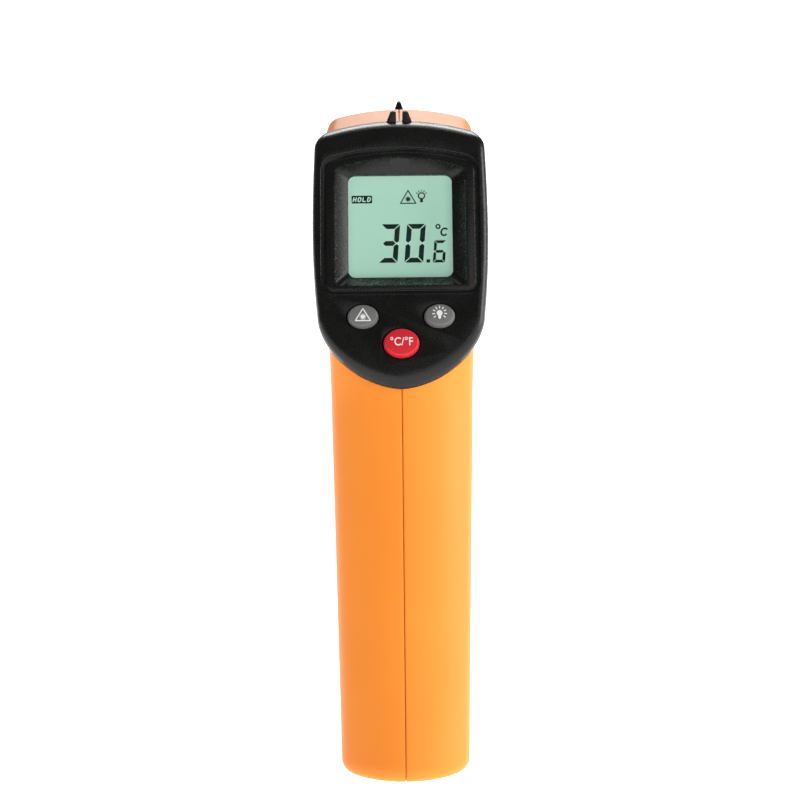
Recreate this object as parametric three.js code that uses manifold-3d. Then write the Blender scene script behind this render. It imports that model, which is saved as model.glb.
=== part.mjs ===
// Pistol-grip infrared thermometer, built as an assembly of separate pieces.
// Millimetres, +Z up, +Y towards the nose, +X to the right of a user who reads the display.
// The origin is the middle of the floor of the bounding box, on the plane of the grip's flat base.
import * as THREE from "three";
import { mergeVertices } from "three/addons/utils/BufferGeometryUtils.js";
import Module from "manifold-3d";

const wasm = await Module();
wasm.setup();

const { degToRad } = THREE.MathUtils;
const V2 = (x, y) => new THREE.Vector2(x, y);
const V3 = (x, y, z) => new THREE.Vector3(x, y, z);

// ---------------------------------------------------------------- driving dimensions
const GAP = 0.3; // clearance between pieces that meet
const HEIGHT = 153; // sights to grip base
const DEPTH = 101; // back of the grip to the nose
const WALL = 2; // moulded wall of the two body halves
const SEAM = 0.15; // each body half stops this far from the middle plane
const BARREL_TOP = 150.1; // height of the barrel's upper line
const SHELL_FRONT = 38; // where the body halves end and the nose cap begins
const NOSE_FRONT = DEPTH / 2;
const GRIP_RAKE = degToRad(11); // the grip leans back this far from upright
const FACE_TILT = degToRad(24); // the display face leans back this far from upright
const FACE_CENTRE = V3(0, -20.8, 127.3); // middle of the display, on the bezel's front plane
const GRIP_CENTRE = V3(0, -35.5, 0); // middle of the grip's base
const OPTIC_AXIS_Z = 122.5; // the infrared lens looks along +Y at this height
const LASER_AXIS_Z = 139; // the aiming laser, above the lens
const BEZEL_DEPTH = 8; // from the bezel's front plane to the plane where it meets the body

// ---------------------------------------------------------------- colours
const finish = (color, roughness, metalness = 0, extra = {}) =>
  new THREE.MeshStandardMaterial({ color, roughness, metalness, ...extra });
const orangePlastic = finish(0xf58a1f, 0.5);
const blackPlastic = finish(0x161614, 0.42);
const clearPlastic = finish(0xd8e8e0, 0.05, 0, { transparent: true, opacity: 0.25 });
const greyRubber = finish(0x6b6b69, 0.6);
const redRubber = finish(0xd8202f, 0.5);
const whitePlastic = finish(0xe9e9e4, 0.5);
const lcdGreen = finish(0xa9d5bf, 0.25);
const boardGreen = finish(0x1e6b3a, 0.45);
const steel = finish(0xc4c6c8, 0.3, 1);
const brass = finish(0xc79a45, 0.3, 1);
const cellWrap = finish(0x2d3f78, 0.35);
const redWire = finish(0xb3201c, 0.5);
const blackWire = finish(0x1b1b1b, 0.5);
const ribbonAmber = finish(0xb9762c, 0.4);
const chipBlack = finish(0x101010, 0.5);
const pinkRubber = finish(0xc98e94, 0.7);
const lensMilk = finish(0xd9d9d2, 0.3);

// ---------------------------------------------------------------- solids from geometry
function solid(geometry) {
  const bare = new THREE.BufferGeometry().setAttribute("position", geometry.getAttribute("position"));
  if (geometry.index) bare.setIndex(geometry.index);
  const merged = mergeVertices(bare, 1e-4);
  const corners = [];
  for (let i = 0; i < merged.index.count; i += 3) {
    const [a, b, c] = [0, 1, 2].map((k) => merged.index.getX(i + k));
    if (a !== b && b !== c && a !== c) corners.push(a, b, c);
  }
  const build = (triVerts) =>
    new wasm.Manifold(
      new wasm.Mesh({
        numProp: 3,
        vertProperties: new Float32Array(merged.attributes.position.array),
        triVerts: new Uint32Array(triVerts),
      }),
    );
  const made = build(corners);
  if (made.volume() > 0) return made;
  const flipped = [];
  for (let i = 0; i < corners.length; i += 3) flipped.push(corners[i], corners[i + 2], corners[i + 1]);
  return build(flipped);
}

function geometryOf(manifold) {
  const mesh = manifold.getMesh();
  const positions = new Float32Array(mesh.numVert * 3);
  for (let i = 0; i < mesh.numVert; i++) {
    positions.set(mesh.vertProperties.subarray(i * mesh.numProp, i * mesh.numProp + 3), i * 3);
  }
  const geometry = new THREE.BufferGeometry();
  geometry.setAttribute("position", new THREE.BufferAttribute(positions, 3));
  geometry.setIndex(new THREE.BufferAttribute(new Uint32Array(mesh.triVerts), 1));
  geometry.computeVertexNormals();
  return geometry;
}

const joined = (first, ...others) => others.reduce((sum, other) => sum.add(other), first);
const carved = (first, ...others) => others.reduce((rest, other) => rest.subtract(other), first);

// A box between two corners.
function block([x0, y0, z0], [x1, y1, z1]) {
  const geometry = new THREE.BoxGeometry(x1 - x0, y1 - y0, z1 - z0);
  geometry.translate((x0 + x1) / 2, (y0 + y1) / 2, (z0 + z1) / 2);
  return solid(geometry);
}

// A round rod from one point to another; the second radius makes it a cone.
function rod(from, to, radius, endRadius = radius, sides = 20) {
  const along = to.clone().sub(from);
  const geometry = new THREE.CylinderGeometry(endRadius, radius, along.length(), sides);
  geometry.applyQuaternion(new THREE.Quaternion().setFromUnitVectors(V3(0, 1, 0), along.clone().normalize()));
  geometry.translate(...from.clone().add(to).multiplyScalar(0.5).toArray());
  return solid(geometry);
}

const crossRod = (x0, x1, y, z, radius, sides = 20) => rod(V3(x0, y, z), V3(x1, y, z), radius, radius, sides);

// An outline in (Y, Z) given thickness along X.
function sidePlate(points, x0, x1) {
  const geometry = new THREE.ExtrudeGeometry(new THREE.Shape(points), {
    depth: x1 - x0,
    bevelEnabled: false,
    curveSegments: 8,
  });
  geometry.applyMatrix4(new THREE.Matrix4().makeBasis(V3(0, 1, 0), V3(0, 0, 1), V3(1, 0, 0)));
  geometry.translate(x0, 0, 0);
  return solid(geometry);
}

// An outline in (X, Y) given thickness along Z.
function plate(points, z0, z1) {
  const thickness = { depth: z1 - z0, bevelEnabled: false };
  const geometry = new THREE.ExtrudeGeometry(new THREE.Shape(points), thickness);
  geometry.translate(0, 0, z0);
  return solid(geometry);
}

// Rings of equally many points, joined in order and capped at both ends.
function loft(rings) {
  const count = rings[0].length;
  const positions = rings.flat().flatMap((p) => p.toArray());
  const index = [];
  for (let r = 0; r + 1 < rings.length; r++) {
    for (let i = 0; i < count; i++) {
      const a = r * count + i;
      const b = r * count + ((i + 1) % count);
      index.push(a, b, b + count, a, b + count, a + count);
    }
  }
  for (const r of [0, rings.length - 1]) {
    const middle = positions.length / 3;
    const centre = rings[r].reduce((sum, p) => sum.add(p), V3(0, 0, 0)).divideScalar(count);
    positions.push(...centre.toArray());
    for (let i = 0; i < count; i++) {
      const [a, b] = [r * count + i, r * count + ((i + 1) % count)];
      index.push(...(r === 0 ? [middle, b, a] : [middle, a, b]));
    }
  }
  const geometry = new THREE.BufferGeometry();
  geometry.setAttribute("position", new THREE.Float32BufferAttribute(positions, 3));
  geometry.setIndex(index);
  return solid(geometry);
}

// A solid of revolution about +Y, its profile given as (radius, y).
function turned(profile, x, z, sides = 28) {
  const geometry = new THREE.LatheGeometry(profile.map(([r, y]) => V2(r, y)), sides);
  geometry.translate(x, 0, z);
  return solid(geometry);
}

// A round section swept along a smooth line through the points.
function cable(points, radius, steps, sides = 6) {
  const line = new THREE.CatmullRomCurve3(points);
  const section = new THREE.Shape();
  for (let i = 0; i < sides; i++) {
    const angle = (2 * Math.PI * i) / sides;
    const [x, y] = [radius * Math.cos(angle), radius * Math.sin(angle)];
    if (i === 0) section.moveTo(x, y);
    else section.lineTo(x, y);
  }
  return solid(new THREE.ExtrudeGeometry(section, { extrudePath: line, steps, bevelEnabled: false }));
}

// ---------------------------------------------------------------- outlines
// Quarter outline from the apex of a crown, round a corner arc, to the side: three tangent arcs.
function crownedQuarter(half, apex, crownR, cornerR, sideR, steps) {
  const crown = V2(0, apex - crownR);
  const side = V2(half - sideR, 0);
  const [ra, rb] = [crownR - cornerR, sideR - cornerR];
  const between = side.clone().sub(crown);
  const span = between.length();
  const along = (ra * ra - rb * rb + span * span) / (2 * span);
  const across = Math.sqrt(ra * ra - along * along);
  const unit = between.divideScalar(span);
  const corner = V2(
    crown.x + unit.x * along + unit.y * across,
    crown.y + unit.y * along - unit.x * across,
  );
  const crownEnd = Math.atan2(corner.y - crown.y, corner.x - crown.x);
  const sideEnd = Math.atan2(corner.y - side.y, corner.x - side.x);
  const arc = (centre, radius, from, to, count) =>
    Array.from({ length: count }, (_, i) => {
      const angle = from + ((to - from) * i) / count;
      return V2(centre.x + radius * Math.cos(angle), centre.y + radius * Math.sin(angle));
    });
  return [
    ...arc(crown, crownR, Math.PI / 2, crownEnd, steps.crown),
    ...arc(corner, cornerR, crownEnd, sideEnd, steps.corner),
    ...arc(side, sideR, sideEnd, 0, steps.side),
    V2(half, 0),
  ];
}

// Closed outline from its right half, which runs from the top of the middle line to its bottom.
const mirroredOutline = (right) => [
  ...right,
  ...right
    .slice(1, -1)
    .reverse()
    .map((p) => V2(-p.x, p.y)),
];

function ellipse(x, y, a, b, sides = 28) {
  return Array.from({ length: sides }, (_, i) => {
    const angle = (2 * Math.PI * i) / sides;
    return V2(x + a * Math.cos(angle), y + b * Math.sin(angle));
  });
}

// Rectangle with round corners, between two corners in its own plane.
function roundedRectangle(x0, y0, x1, y1, radius, steps = 4) {
  const centres = [
    [x1 - radius, y1 - radius],
    [x0 + radius, y1 - radius],
    [x0 + radius, y0 + radius],
    [x1 - radius, y0 + radius],
  ];
  return centres.flatMap(([cx, cy], quarter) =>
    Array.from({ length: steps + 1 }, (_, i) => {
      const angle = (Math.PI / 2) * (quarter + i / steps);
      return V2(cx + radius * Math.cos(angle), cy + radius * Math.sin(angle));
    }),
  );
}

// ---------------------------------------------------------------- body skin
// Sections of the body, from the barrel's front round to the grip's base. Each lies in a plane through
// an outer point (barrel top, then grip back) and an inner point (barrel underside, then grip front).
const SECTIONS = [
  { outer: [38, BARREL_TOP], inner: [38, 107.8], half: 19.3, shape: 0 },
  { outer: [27, BARREL_TOP], inner: [28, 107.2], half: 19.3, shape: 0 },
  { outer: [15, BARREL_TOP], inner: [18.5, 106], half: 19.3, shape: 0.05 },
  { outer: [3, BARREL_TOP], inner: [11, 103], half: 19.3, shape: 0.15 },
  { outer: [-8, 149.5], inner: [6.8, 99], half: 19.1, shape: 0.25 },
  { outer: [-18, 142], inner: [4.2, 94.5], half: 18.7, shape: 0.4 },
  { outer: [-26, 126], inner: [2.4, 90], half: 18.1, shape: 0.6 },
  { outer: [-30.5, 109], inner: [0.8, 85.5], half: 17.4, shape: 0.8 },
  { outer: [-32.8, 94], inner: [-0.9, 80], half: 16.95, shape: 1 },
  { outer: [-35, 80], inner: [-2.9, 72], half: 16.75, shape: 1 },
  { outer: [-38.8, 60], inner: [-7.3, 54], half: 16.35, shape: 1 },
  { outer: [-42.7, 40], inner: [-11.7, 36], half: 15.95, shape: 1 },
  { outer: [-46.9, 20], inner: [-16.1, 18], half: 15.55, shape: 1 },
  { outer: [-50.5, 2.2], inner: [-20, 2.2], half: 15.25, shape: 1 },
  { outer: [-50.3, 0.7], inner: [-20.3, 0.7], half: 14.8, shape: 1 },
  { outer: [-49.3, 0], inner: [-21.2, 0], half: 13.8, shape: 1 },
];
const BARREL_SHAPE = { outerCrown: 64, outerCorner: 4.2, side: 160, innerCrown: 60, innerCorner: 9 };
const GRIP_SHAPE = { outerCrown: 20, outerCorner: 7.5, side: 110, innerCrown: 24, innerCorner: 7.5 };
const LAST_INNER_SECTION = 13; // the hollow ends above the base wall

const blend = (a, b, t) => a + (b - a) * t;

// Points of one section, drawn in by `inset` all round.
function sectionRing({ outer, inner, half, shape }, inset, steps) {
  const mix = (key) => blend(BARREL_SHAPE[key], GRIP_SHAPE[key], shape) - inset;
  const out = V2(...outer);
  const up = out.clone().sub(V2(...inner));
  const reach = up.length() / 2;
  up.normalize();
  const centre = out.addScaledVector(up, -reach);
  const quarter = (crown, corner) =>
    crownedQuarter(half - inset, reach - inset, mix(crown), mix(corner), mix("side"), steps);
  const above = quarter("outerCrown", "outerCorner");
  const below = quarter("innerCrown", "innerCorner").map((p) => V2(p.x, -p.y));
  return mirroredOutline([...above, ...below.reverse().slice(1)]).map((p) =>
    V3(p.x, centre.x + up.x * p.y, centre.y + up.y * p.y),
  );
}

// Smooth curve through the sections; `perSpan` rings between neighbours.
function smoothSections(sections, perSpan) {
  const through = (key) => new THREE.CatmullRomCurve3(sections.map((s) => V3(...s[key], 0)));
  const [outer, inner] = [through("outer"), through("inner")];
  const widths = new THREE.CatmullRomCurve3(sections.map((s) => V3(s.half, s.shape, 0)));
  const count = (sections.length - 1) * perSpan;
  return Array.from({ length: count + 1 }, (_, i) => {
    const t = i / count;
    const [o, n, w] = [outer.getPoint(t), inner.getPoint(t), widths.getPoint(t)];
    return { outer: [o.x, o.y], inner: [n.x, n.y], half: w.x, shape: w.y };
  });
}

const SKIN_STEPS = { crown: 4, corner: 4, side: 2 };
const HOLLOW_STEPS = { crown: 3, corner: 3, side: 1 };

function bodySkin() {
  const bend = smoothSections(SECTIONS.slice(2, 10), 2);
  const all = [...SECTIONS.slice(0, 2), ...bend, ...SECTIONS.slice(10)];
  return loft(all.map((section) => sectionRing(section, 0, SKIN_STEPS)));
}

function bodyHollow() {
  const inside = SECTIONS.slice(0, LAST_INNER_SECTION + 1);
  const rings = inside.map((section) => sectionRing(section, WALL, HOLLOW_STEPS));
  rings.unshift(rings[0].map((p) => p.clone().add(V3(0, 10, 0))));
  return loft(rings);
}

// ---------------------------------------------------------------- display face frame
// The display group's own axes: X as the object's, Y up the face, Z out of the face to the user.
const displayGroup = new THREE.Group();
displayGroup.position.copy(FACE_CENTRE);
displayGroup.rotation.x = Math.PI / 2 - FACE_TILT;
displayGroup.updateMatrixWorld(true);

// The grip group's own axes: Z up the grip, Y to its front, origin in the middle of its base.
const gripGroup = new THREE.Group();
gripGroup.position.copy(GRIP_CENTRE);
gripGroup.rotation.x = -GRIP_RAKE;
gripGroup.updateMatrixWorld(true);

const inObjectFrame = (manifold, group) => solid(geometryOf(manifold).applyMatrix4(group.matrixWorld));
const inGroupFrame = (manifold, group) =>
  solid(geometryOf(manifold).applyMatrix4(group.matrixWorld.clone().invert()));

// ---------------------------------------------------------------- rear bezel
const BEZEL = {
  half: 20.75, // widest half width
  upperSideR: 400, // bow of the long sides above the middle
  lowerSideR: 205, // and below it
  crownR: 58, // bow of the top edge
  cornerR: 4.2,
  chinStart: -21.5, // the chin's curve begins here
  chinPower: 1.72, // squareness of the chin's curve
  wall: 3.3, // from the rim to the hollow behind the face
  faceWall: 2.4, // thickness of the face
};
const WINDOW = { half: 12.3, bottom: -11.6, top: 13.8, corner: 1.7, glassFront: -3.45, glassBack: -4.5 };
const RECESS = { half: 15.5, bottom: -14.5, top: 17.2, topDrop: 2.7, depth: 3 };
const GROOVE = { half: 18.6, bottom: -16.5, top: 19.4, topDrop: 2.7, width: 1.1, depth: 0.4 };
const GLAZING_WALL = [-17.2, -16.2, 17.2, 17.6]; // thicker part of the face, around the glass
const KEYS = [
  { name: "laser_key", x: -8.9, y: -22, a: 3.6, b: 2.77, material: greyRubber },
  { name: "backlight_key", x: 8.9, y: -22, a: 3.6, b: 2.77, material: greyRubber },
  { name: "unit_key", x: 0, y: -28.45, a: 4.18, b: 3.42, material: redRubber },
];
const KEY_CLEARANCE = 0.25;
// Levels of the bezel's rim: depth z, inset of the sides, height of the crown, depth of the chin.
const BEZEL_RIM = [
  { z: 0, inset: 1.5, top: 24.4, chin: -35.5 },
  { z: -0.35, inset: 0.7, top: 25.1, chin: -36.9 },
  { z: -1.1, inset: 0.2, top: 25.7, chin: -38 },
  { z: -2.4, inset: 0, top: 26.4, chin: -38.6 },
  { z: -5, inset: 0.1, top: 27.5, chin: -38 },
  { z: -(BEZEL_DEPTH - GAP), inset: 0.3, top: 28.7, chin: -37 },
];

function bezelOutline({ inset, top, chin }, grow = 0) {
  const half = BEZEL.half - inset + grow;
  const steps = { crown: 5, corner: 4, side: 2 };
  const upper = crownedQuarter(half, top + grow, BEZEL.crownR, BEZEL.cornerR, BEZEL.upperSideR, steps);
  const sideAt = (y) => half - (y * y) / (2 * BEZEL.lowerSideR);
  const side = [-7, -14].map((y) => V2(sideAt(y), y));
  const reach = BEZEL.chinStart - (chin - grow);
  const chinSteps = 9;
  const lower = Array.from({ length: chinSteps + 1 }, (_, i) => {
    const drop = Math.sin((Math.PI / 2) * (i / chinSteps)) ** 1.1;
    const width = (1 - Math.min(drop, 1) ** BEZEL.chinPower) ** (1 / BEZEL.chinPower);
    return V2(sideAt(BEZEL.chinStart) * width, BEZEL.chinStart - reach * drop);
  });
  return mirroredOutline([...upper, ...side, ...lower]);
}

const bezelRings = (rim, grow = 0) =>
  rim.map((level) => bezelOutline(level, grow).map((p) => V3(p.x, p.y, level.z)));

// Arched window outline: straight sides and bottom, and a top edge that rises to the middle.
function archedOutline({ half, bottom, top, topDrop }, corner, grow = 0) {
  const [x, y0, y1] = [half + grow, bottom - grow, top - topDrop + grow];
  const arch = [-0.66, -0.33, 0, 0.33, 0.66].map((t) => V2(-t * x, y1 + topDrop * (1 - t * t)));
  const outline = roundedRectangle(-x, y0, x, y1, corner);
  outline.splice(5, 0, ...arch);
  return outline;
}

// A ring of points that tapers from one outline to another of the same length.
const taper = (from, z0, to, z1) => {
  const atLevel = (outline, z) => outline.map((p) => V3(p.x, p.y, z));
  return loft([atLevel(from, z0), atLevel(to, z1)]);
};

function rearSight() {
  const [baseIn, baseOut, topIn, topOut] = [0.65, 4, 0.75, 2.05];
  const [back, front, foot] = [-7.2, -4.4, 148];
  const post = (side) =>
    loft(
      [
        [foot, 0, 0],
        [HEIGHT, 0.5, 1],
      ].map(([z, lean, isTop]) => {
        const inner = isTop ? topIn : baseIn;
        const outer = isTop ? topOut : baseOut;
        return [
          V3(side * inner, back + lean, z),
          V3(side * outer, back + lean, z),
          V3(side * outer, front - lean, z),
          V3(side * inner, front - lean, z),
        ];
      }),
    );
  return inGroupFrame(joined(post(1), post(-1)), displayGroup);
}

const BOARD_SCREWS = [
  { x: -13.2, y: 18.9 },
  { x: 13.2, y: 18.9 },
  { x: -9.8, y: -29.6 },
  { x: 9.8, y: -29.6 },
];
const BOARD = { front: -12, back: -13.6 };

function rearBezel() {
  const { wall, faceWall } = BEZEL;
  const [widest, deepest] = [BEZEL_RIM[3], BEZEL_RIM[5]];
  const shell = loft(bezelRings(BEZEL_RIM));
  const cavityRim = [
    { z: -faceWall, inset: wall, top: widest.top - wall, chin: widest.chin + wall },
    { z: BOARD.front, inset: wall, top: deepest.top - wall, chin: deepest.chin + wall - GAP },
  ];
  const cavity = loft(bezelRings(cavityRim));
  const glazing = plate(roundedRectangle(...GLAZING_WALL, 2), WINDOW.glassBack - 0.1, -faceWall + 0.1);
  const bosses = BOARD_SCREWS.map(({ x, y }) =>
    rod(V3(x, y, -faceWall + 0.2), V3(x, y, BOARD.front + GAP), 1.9, 1.9, 14),
  );
  const pilots = BOARD_SCREWS.map(({ x, y }) => rod(V3(x, y, -4), V3(x, y, -14), 0.95, 0.95, 12));
  const mouth = archedOutline(RECESS, 0.8);
  const throat = archedOutline({ ...WINDOW, topDrop: 0.01 }, WINDOW.corner);
  const recess = joined(
    taper(throat, -RECESS.depth, mouth, 0.01),
    plate(mouth, 0, 3),
    plate(throat, -5, -RECESS.depth + 0.01),
  );
  const outerEdge = plate(archedOutline(GROOVE, 3), -GROOVE.depth, 3);
  const innerEdge = plate(archedOutline(GROOVE, 3, -GROOVE.width), -1, 4);
  const windowSeat = plate(roundedRectangle(-14, -13.5, 14, 15, 1.5), -5, WINDOW.glassFront + 0.15);
  const keyHole = ({ x, y, a, b }) => ellipse(x, y, a + KEY_CLEARANCE, b + KEY_CLEARANCE);
  const keyHoles = KEYS.map((key) => plate(keyHole(key), -5, 3));
  return carved(
    joined(shell.subtract(cavity), glazing, rearSight(), ...bosses),
    outerEdge.subtract(innerEdge),
    recess,
    windowSeat,
    ...keyHoles,
    ...pilots,
  );
}

// Outline of the main board: straight sides, then tapered towards the chin.
const boardOutline = (half, top, bottom, grow) => [
  V2(-half, top),
  V2(-half, -22),
  V2(-12.4 - grow, -29),
  V2(-8.4 - grow, bottom),
  V2(8.4 + grow, bottom),
  V2(12.4 + grow, -29),
  V2(half, -22),
  V2(half, top),
];

// The space that the bezel takes out of the body, with its clearance.
function bezelPocket() {
  const widest = BEZEL_RIM[3];
  const rim = [{ ...BEZEL_RIM[5], z: -BEZEL_DEPTH }, { ...widest }, { ...widest, z: 30 }];
  const clear = loft(bezelRings(rim, GAP));
  const above = block([-30, 15, -BEZEL_DEPTH], [30, 60, 30]);
  const boardRoom = plate(boardOutline(15.4, 22, -34, 0.6), -16.5, 0);
  return inObjectFrame(joined(clear, above, boardRoom), displayGroup);
}

// ---------------------------------------------------------------- trigger and its throat
const PIVOT = { y: 3.5, z: 102, pin: 1, hole: 1.15 };
const TRIGGER_HALF = 5.6;
const SWITCH_BOARD = { back: -16.4, front: -15.2, half: 7, bottom: 78.5, top: 98 };

function trigger() {
  const face = [
    V2(13.6, 103),
    V2(11.6, 98.5),
    V2(10, 93),
    V2(9.3, 87.5),
    V2(9.9, 82),
    V2(9.5, 80.4),
    V2(8.2, 79.9),
  ];
  const paddle = sidePlate([...face, V2(-6, 79.9), V2(-2.4, 98), V2(1, 103)], -TRIGGER_HALF, TRIGGER_HALF);
  const boss = crossRod(-TRIGGER_HALF, TRIGGER_HALF, PIVOT.y, PIVOT.z, 3);
  const flangeFace = [V2(-0.4, 94.5), V2(-2.3, 90), V2(-4, 85.5), V2(-5.4, 81.6)];
  const flange = sidePlate([...flangeFace, V2(-7, 81.6), V2(-4.2, 94.5)], -7.6, 7.6);
  const pocket = block([-TRIGGER_HALF + 1.4, -8, 86], [TRIGGER_HALF - 1.4, 3.2, 97.5]);
  const pinHole = crossRod(-10, 10, PIVOT.y, PIVOT.z, PIVOT.hole, 16);
  return carved(joined(paddle, boss, flange), pocket, pinHole);
}

// Wire wound at a constant pitch along +Y.
function coil({ x, z, start, end, radius, wire, turns, perTurn = 10, sides = 5 }) {
  class Helix extends THREE.Curve {
    getPoint(t, target = V3(0, 0, 0)) {
      const angle = 2 * Math.PI * turns * t;
      return target.set(x + radius * Math.cos(angle), blend(start, end, t), z + radius * Math.sin(angle));
    }
  }
  const section = new THREE.Shape(ellipse(0, 0, wire / 2, wire / 2, sides));
  const steps = Math.round(turns * perTurn);
  return solid(new THREE.ExtrudeGeometry(section, { extrudePath: new Helix(), steps, bevelEnabled: false }));
}

// ---------------------------------------------------------------- body halves
// Screws that clamp the halves: all along X, driven from the right.
const CASE_SCREWS = [
  { name: "case_screw_barrel_front", y: 20, z: 143 },
  { name: "case_screw_barrel_rear", y: 8, z: 143 },
  { name: "case_screw_nose_under", y: 29, z: 111.4 },
  { name: "case_screw_grip_top", y: -10.5, z: 74 },
  { name: "case_screw_grip_base", y: -36.5, z: 5.3 },
];
const SCREW = { shaft: 1.1, hole: 1.3, head: 2.6, headSeat: 9, headThick: 1.8, tip: -8, well: 3 };
const HINGE = { y: 10.5, z: 4.5, knuckle: 4.6, pin: 1.2, pinEnd: 12.5, hole: 1.45 }; // in the grip group
const DOOR = { half: 11.4, back: 10.5, top: 67.5 };
const LABEL = { corners: [6, 118.5, 33.5, 135.5], round: 4, depth: 18.6 }; // shallow panel on each side

const gripBlock = (low, high) => inObjectFrame(block(low, high), gripGroup);

function doorCutter(clearance) {
  const [x, top] = [DOOR.half + clearance, DOOR.top + clearance];
  const front = block([-x, DOOR.back - clearance, -9], [x, 30, top]);
  const knuckle = crossRod(-x, x, HINGE.y, HINGE.z, HINGE.knuckle + clearance, 24);
  const below = block([-x, HINGE.y - clearance, -9], [x, 30, HINGE.z]);
  return inObjectFrame(joined(front, knuckle, below), gripGroup);
}

function bodyHalf(side, skin, hollow, pocket) {
  const [from, to] = side > 0 ? [SEAM, 40] : [-40, -SEAM];
  const halfSpace = block([from, -70, -10], [to, 70, 170]);
  const labelOutline = roundedRectangle(...LABEL.corners, LABEL.round);
  const labelRecess = sidePlate(labelOutline, ...(side > 0 ? [LABEL.depth, 25] : [-25, -LABEL.depth]));
  const reach = (x0, x1, y, z, r, n) => crossRod(side * x0, side * x1, y, z, r, n);
  const bosses = CASE_SCREWS.map(({ y, z }) => reach(0, 25, y, z, 2.6, 16));
  const wells = side > 0 ? CASE_SCREWS.map(({ y, z }) => reach(7.4, 25, y, z, 3.9, 20)) : [];
  const pivotBoss = reach(TRIGGER_HALF + GAP, 25, PIVOT.y, PIVOT.z, 2.6, 16);
  const ribs = [
    block([6.2, -17.8, 78], [25, SWITCH_BOARD.back - GAP, 99]),
    block([6.2, SWITCH_BOARD.front + GAP, 93], [25, -13.6, 99]),
    block([SWITCH_BOARD.half + GAP, -17.8, 78], [25, -13.6, 99]),
    block([10, 19, 112], [25, 21, 146]),
  ].map((rib) => (side > 0 ? rib : rib.mirror([1, 0, 0])));
  const hingeBoss = inObjectFrame(
    crossRod(side * (DOOR.half + GAP), side * 25, HINGE.y, HINGE.z, 2.9, 20),
    gripGroup,
  );
  const hingeHole = inObjectFrame(
    crossRod(side * 10, side * (HINGE.pinEnd + GAP), HINGE.y, HINGE.z, HINGE.hole, 18),
    gripGroup,
  );
  const seats = ribs.map((rib) => rib.intersect(skin));
  const inside = joined(...bosses, ...wells, pivotBoss).intersect(skin);
  const throat = block([-TRIGGER_HALF - 0.5, -6, 79], [TRIGGER_HALF + 0.5, 22, 104.2]);
  const screwHoles = CASE_SCREWS.map(({ y, z }) => reach(-1, side > 0 ? 12 : 10, y, z, SCREW.hole, 14));
  const headWell = ({ y, z }) => reach(SCREW.headSeat, 26, y, z, SCREW.well, 20);
  const headWells = side > 0 ? CASE_SCREWS.map(headWell) : [];
  const shell = carved(skin, hollow, throat, doorCutter(GAP), pocket);
  return carved(
    joined(shell, inside.subtract(pocket), ...seats, hingeBoss.intersect(skin)),
    ...screwHoles,
    ...headWells,
    reach(0, 10, PIVOT.y, PIVOT.z, PIVOT.hole, 16),
    hingeHole,
    labelRecess,
  ).intersect(halfSpace);
}

function caseScrew() {
  const top = SCREW.headSeat + SCREW.headThick;
  const head = rod(V3(SCREW.headSeat + 0.1, 0, 0), V3(top, 0, 0), SCREW.head, 2.2);
  const shaft = rod(V3(SCREW.tip, 0, 0), V3(SCREW.headSeat + 0.2, 0, 0), 0.7, SCREW.shaft, 12);
  const slot = (w, h) => block([SCREW.headSeat + 0.9, -w, -h], [SCREW.headSeat + 4, w, h]);
  return carved(head.add(shaft), slot(1.3, 0.3), slot(0.3, 1.3));
}

// ---------------------------------------------------------------- nose
// Stations of the nose cap: how far its outline is drawn in, and Y.
const NOSE_STATIONS = [
  [0.1, SHELL_FRONT + GAP],
  [0.6, 45],
  [1, 48],
  [1.8, 49.8],
  [2.9, NOSE_FRONT],
];
const FRONT_SIGHT = { foot: [148, 1.7, 42.5, 49], top: [151.6, 0.35, 44.2, 47.4] }; // z, half width, y, y
// Openings of the nose as (radius, y) profiles about the lens and laser axes.
const LENS_OPENING = [
  [0, 40],
  [8.3, 40],
  [8.3, 43.4],
  [6, 43.4],
  [6, 44.6],
  [9, 52],
  [0, 52],
];
const LASER_OPENING = [
  [0, 40],
  [3.35, 40],
  [3.35, 45.2],
  [2, 45.2],
  [2, 47.5],
  [3.2, 52],
  [0, 52],
];

function noseCap() {
  const mouth = SECTIONS[0];
  const mouthSteps = { crown: 4, corner: 5, side: 2 };
  const drawn = (inset, y) => sectionRing(mouth, inset, mouthSteps).map((p) => p.setY(y));
  const shell = loft(NOSE_STATIONS.map(([inset, y]) => drawn(inset, y)));
  const spigot = loft([drawn(WALL + GAP, 34), drawn(WALL + GAP, SHELL_FRONT + 1)]);
  const hollow = loft([drawn(WALL + 1.8, 33), drawn(WALL + 1.8, 45)]);
  const sightRing = ([z, x, y0, y1]) => [V3(-x, y0, z), V3(x, y0, z), V3(x, y1, z), V3(-x, y1, z)];
  const sight = loft([sightRing(FRONT_SIGHT.foot), sightRing(FRONT_SIGHT.top)]);
  const lensBoss = rod(V3(0, 41.4, OPTIC_AXIS_Z), V3(0, 47, OPTIC_AXIS_Z), 9.6, 9.6, 28);
  const laserBoss = rod(V3(0, 42, LASER_AXIS_Z), V3(0, 47, LASER_AXIS_Z), 4.6);
  return carved(
    joined(joined(shell, spigot).subtract(hollow), lensBoss, laserBoss, sight),
    turned(LENS_OPENING, 0, OPTIC_AXIS_Z),
    turned(LASER_OPENING, 0, LASER_AXIS_Z, 20),
  );
}

// ---------------------------------------------------------------- scene
const thermometer = new THREE.Group();
thermometer.add(displayGroup, gripGroup);

function part(name, shape, material, parent = thermometer, position = [0, 0, 0]) {
  const mesh = new THREE.Mesh(geometryOf(shape), material);
  mesh.name = name;
  mesh.position.set(...position);
  parent.add(mesh);
}

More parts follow.
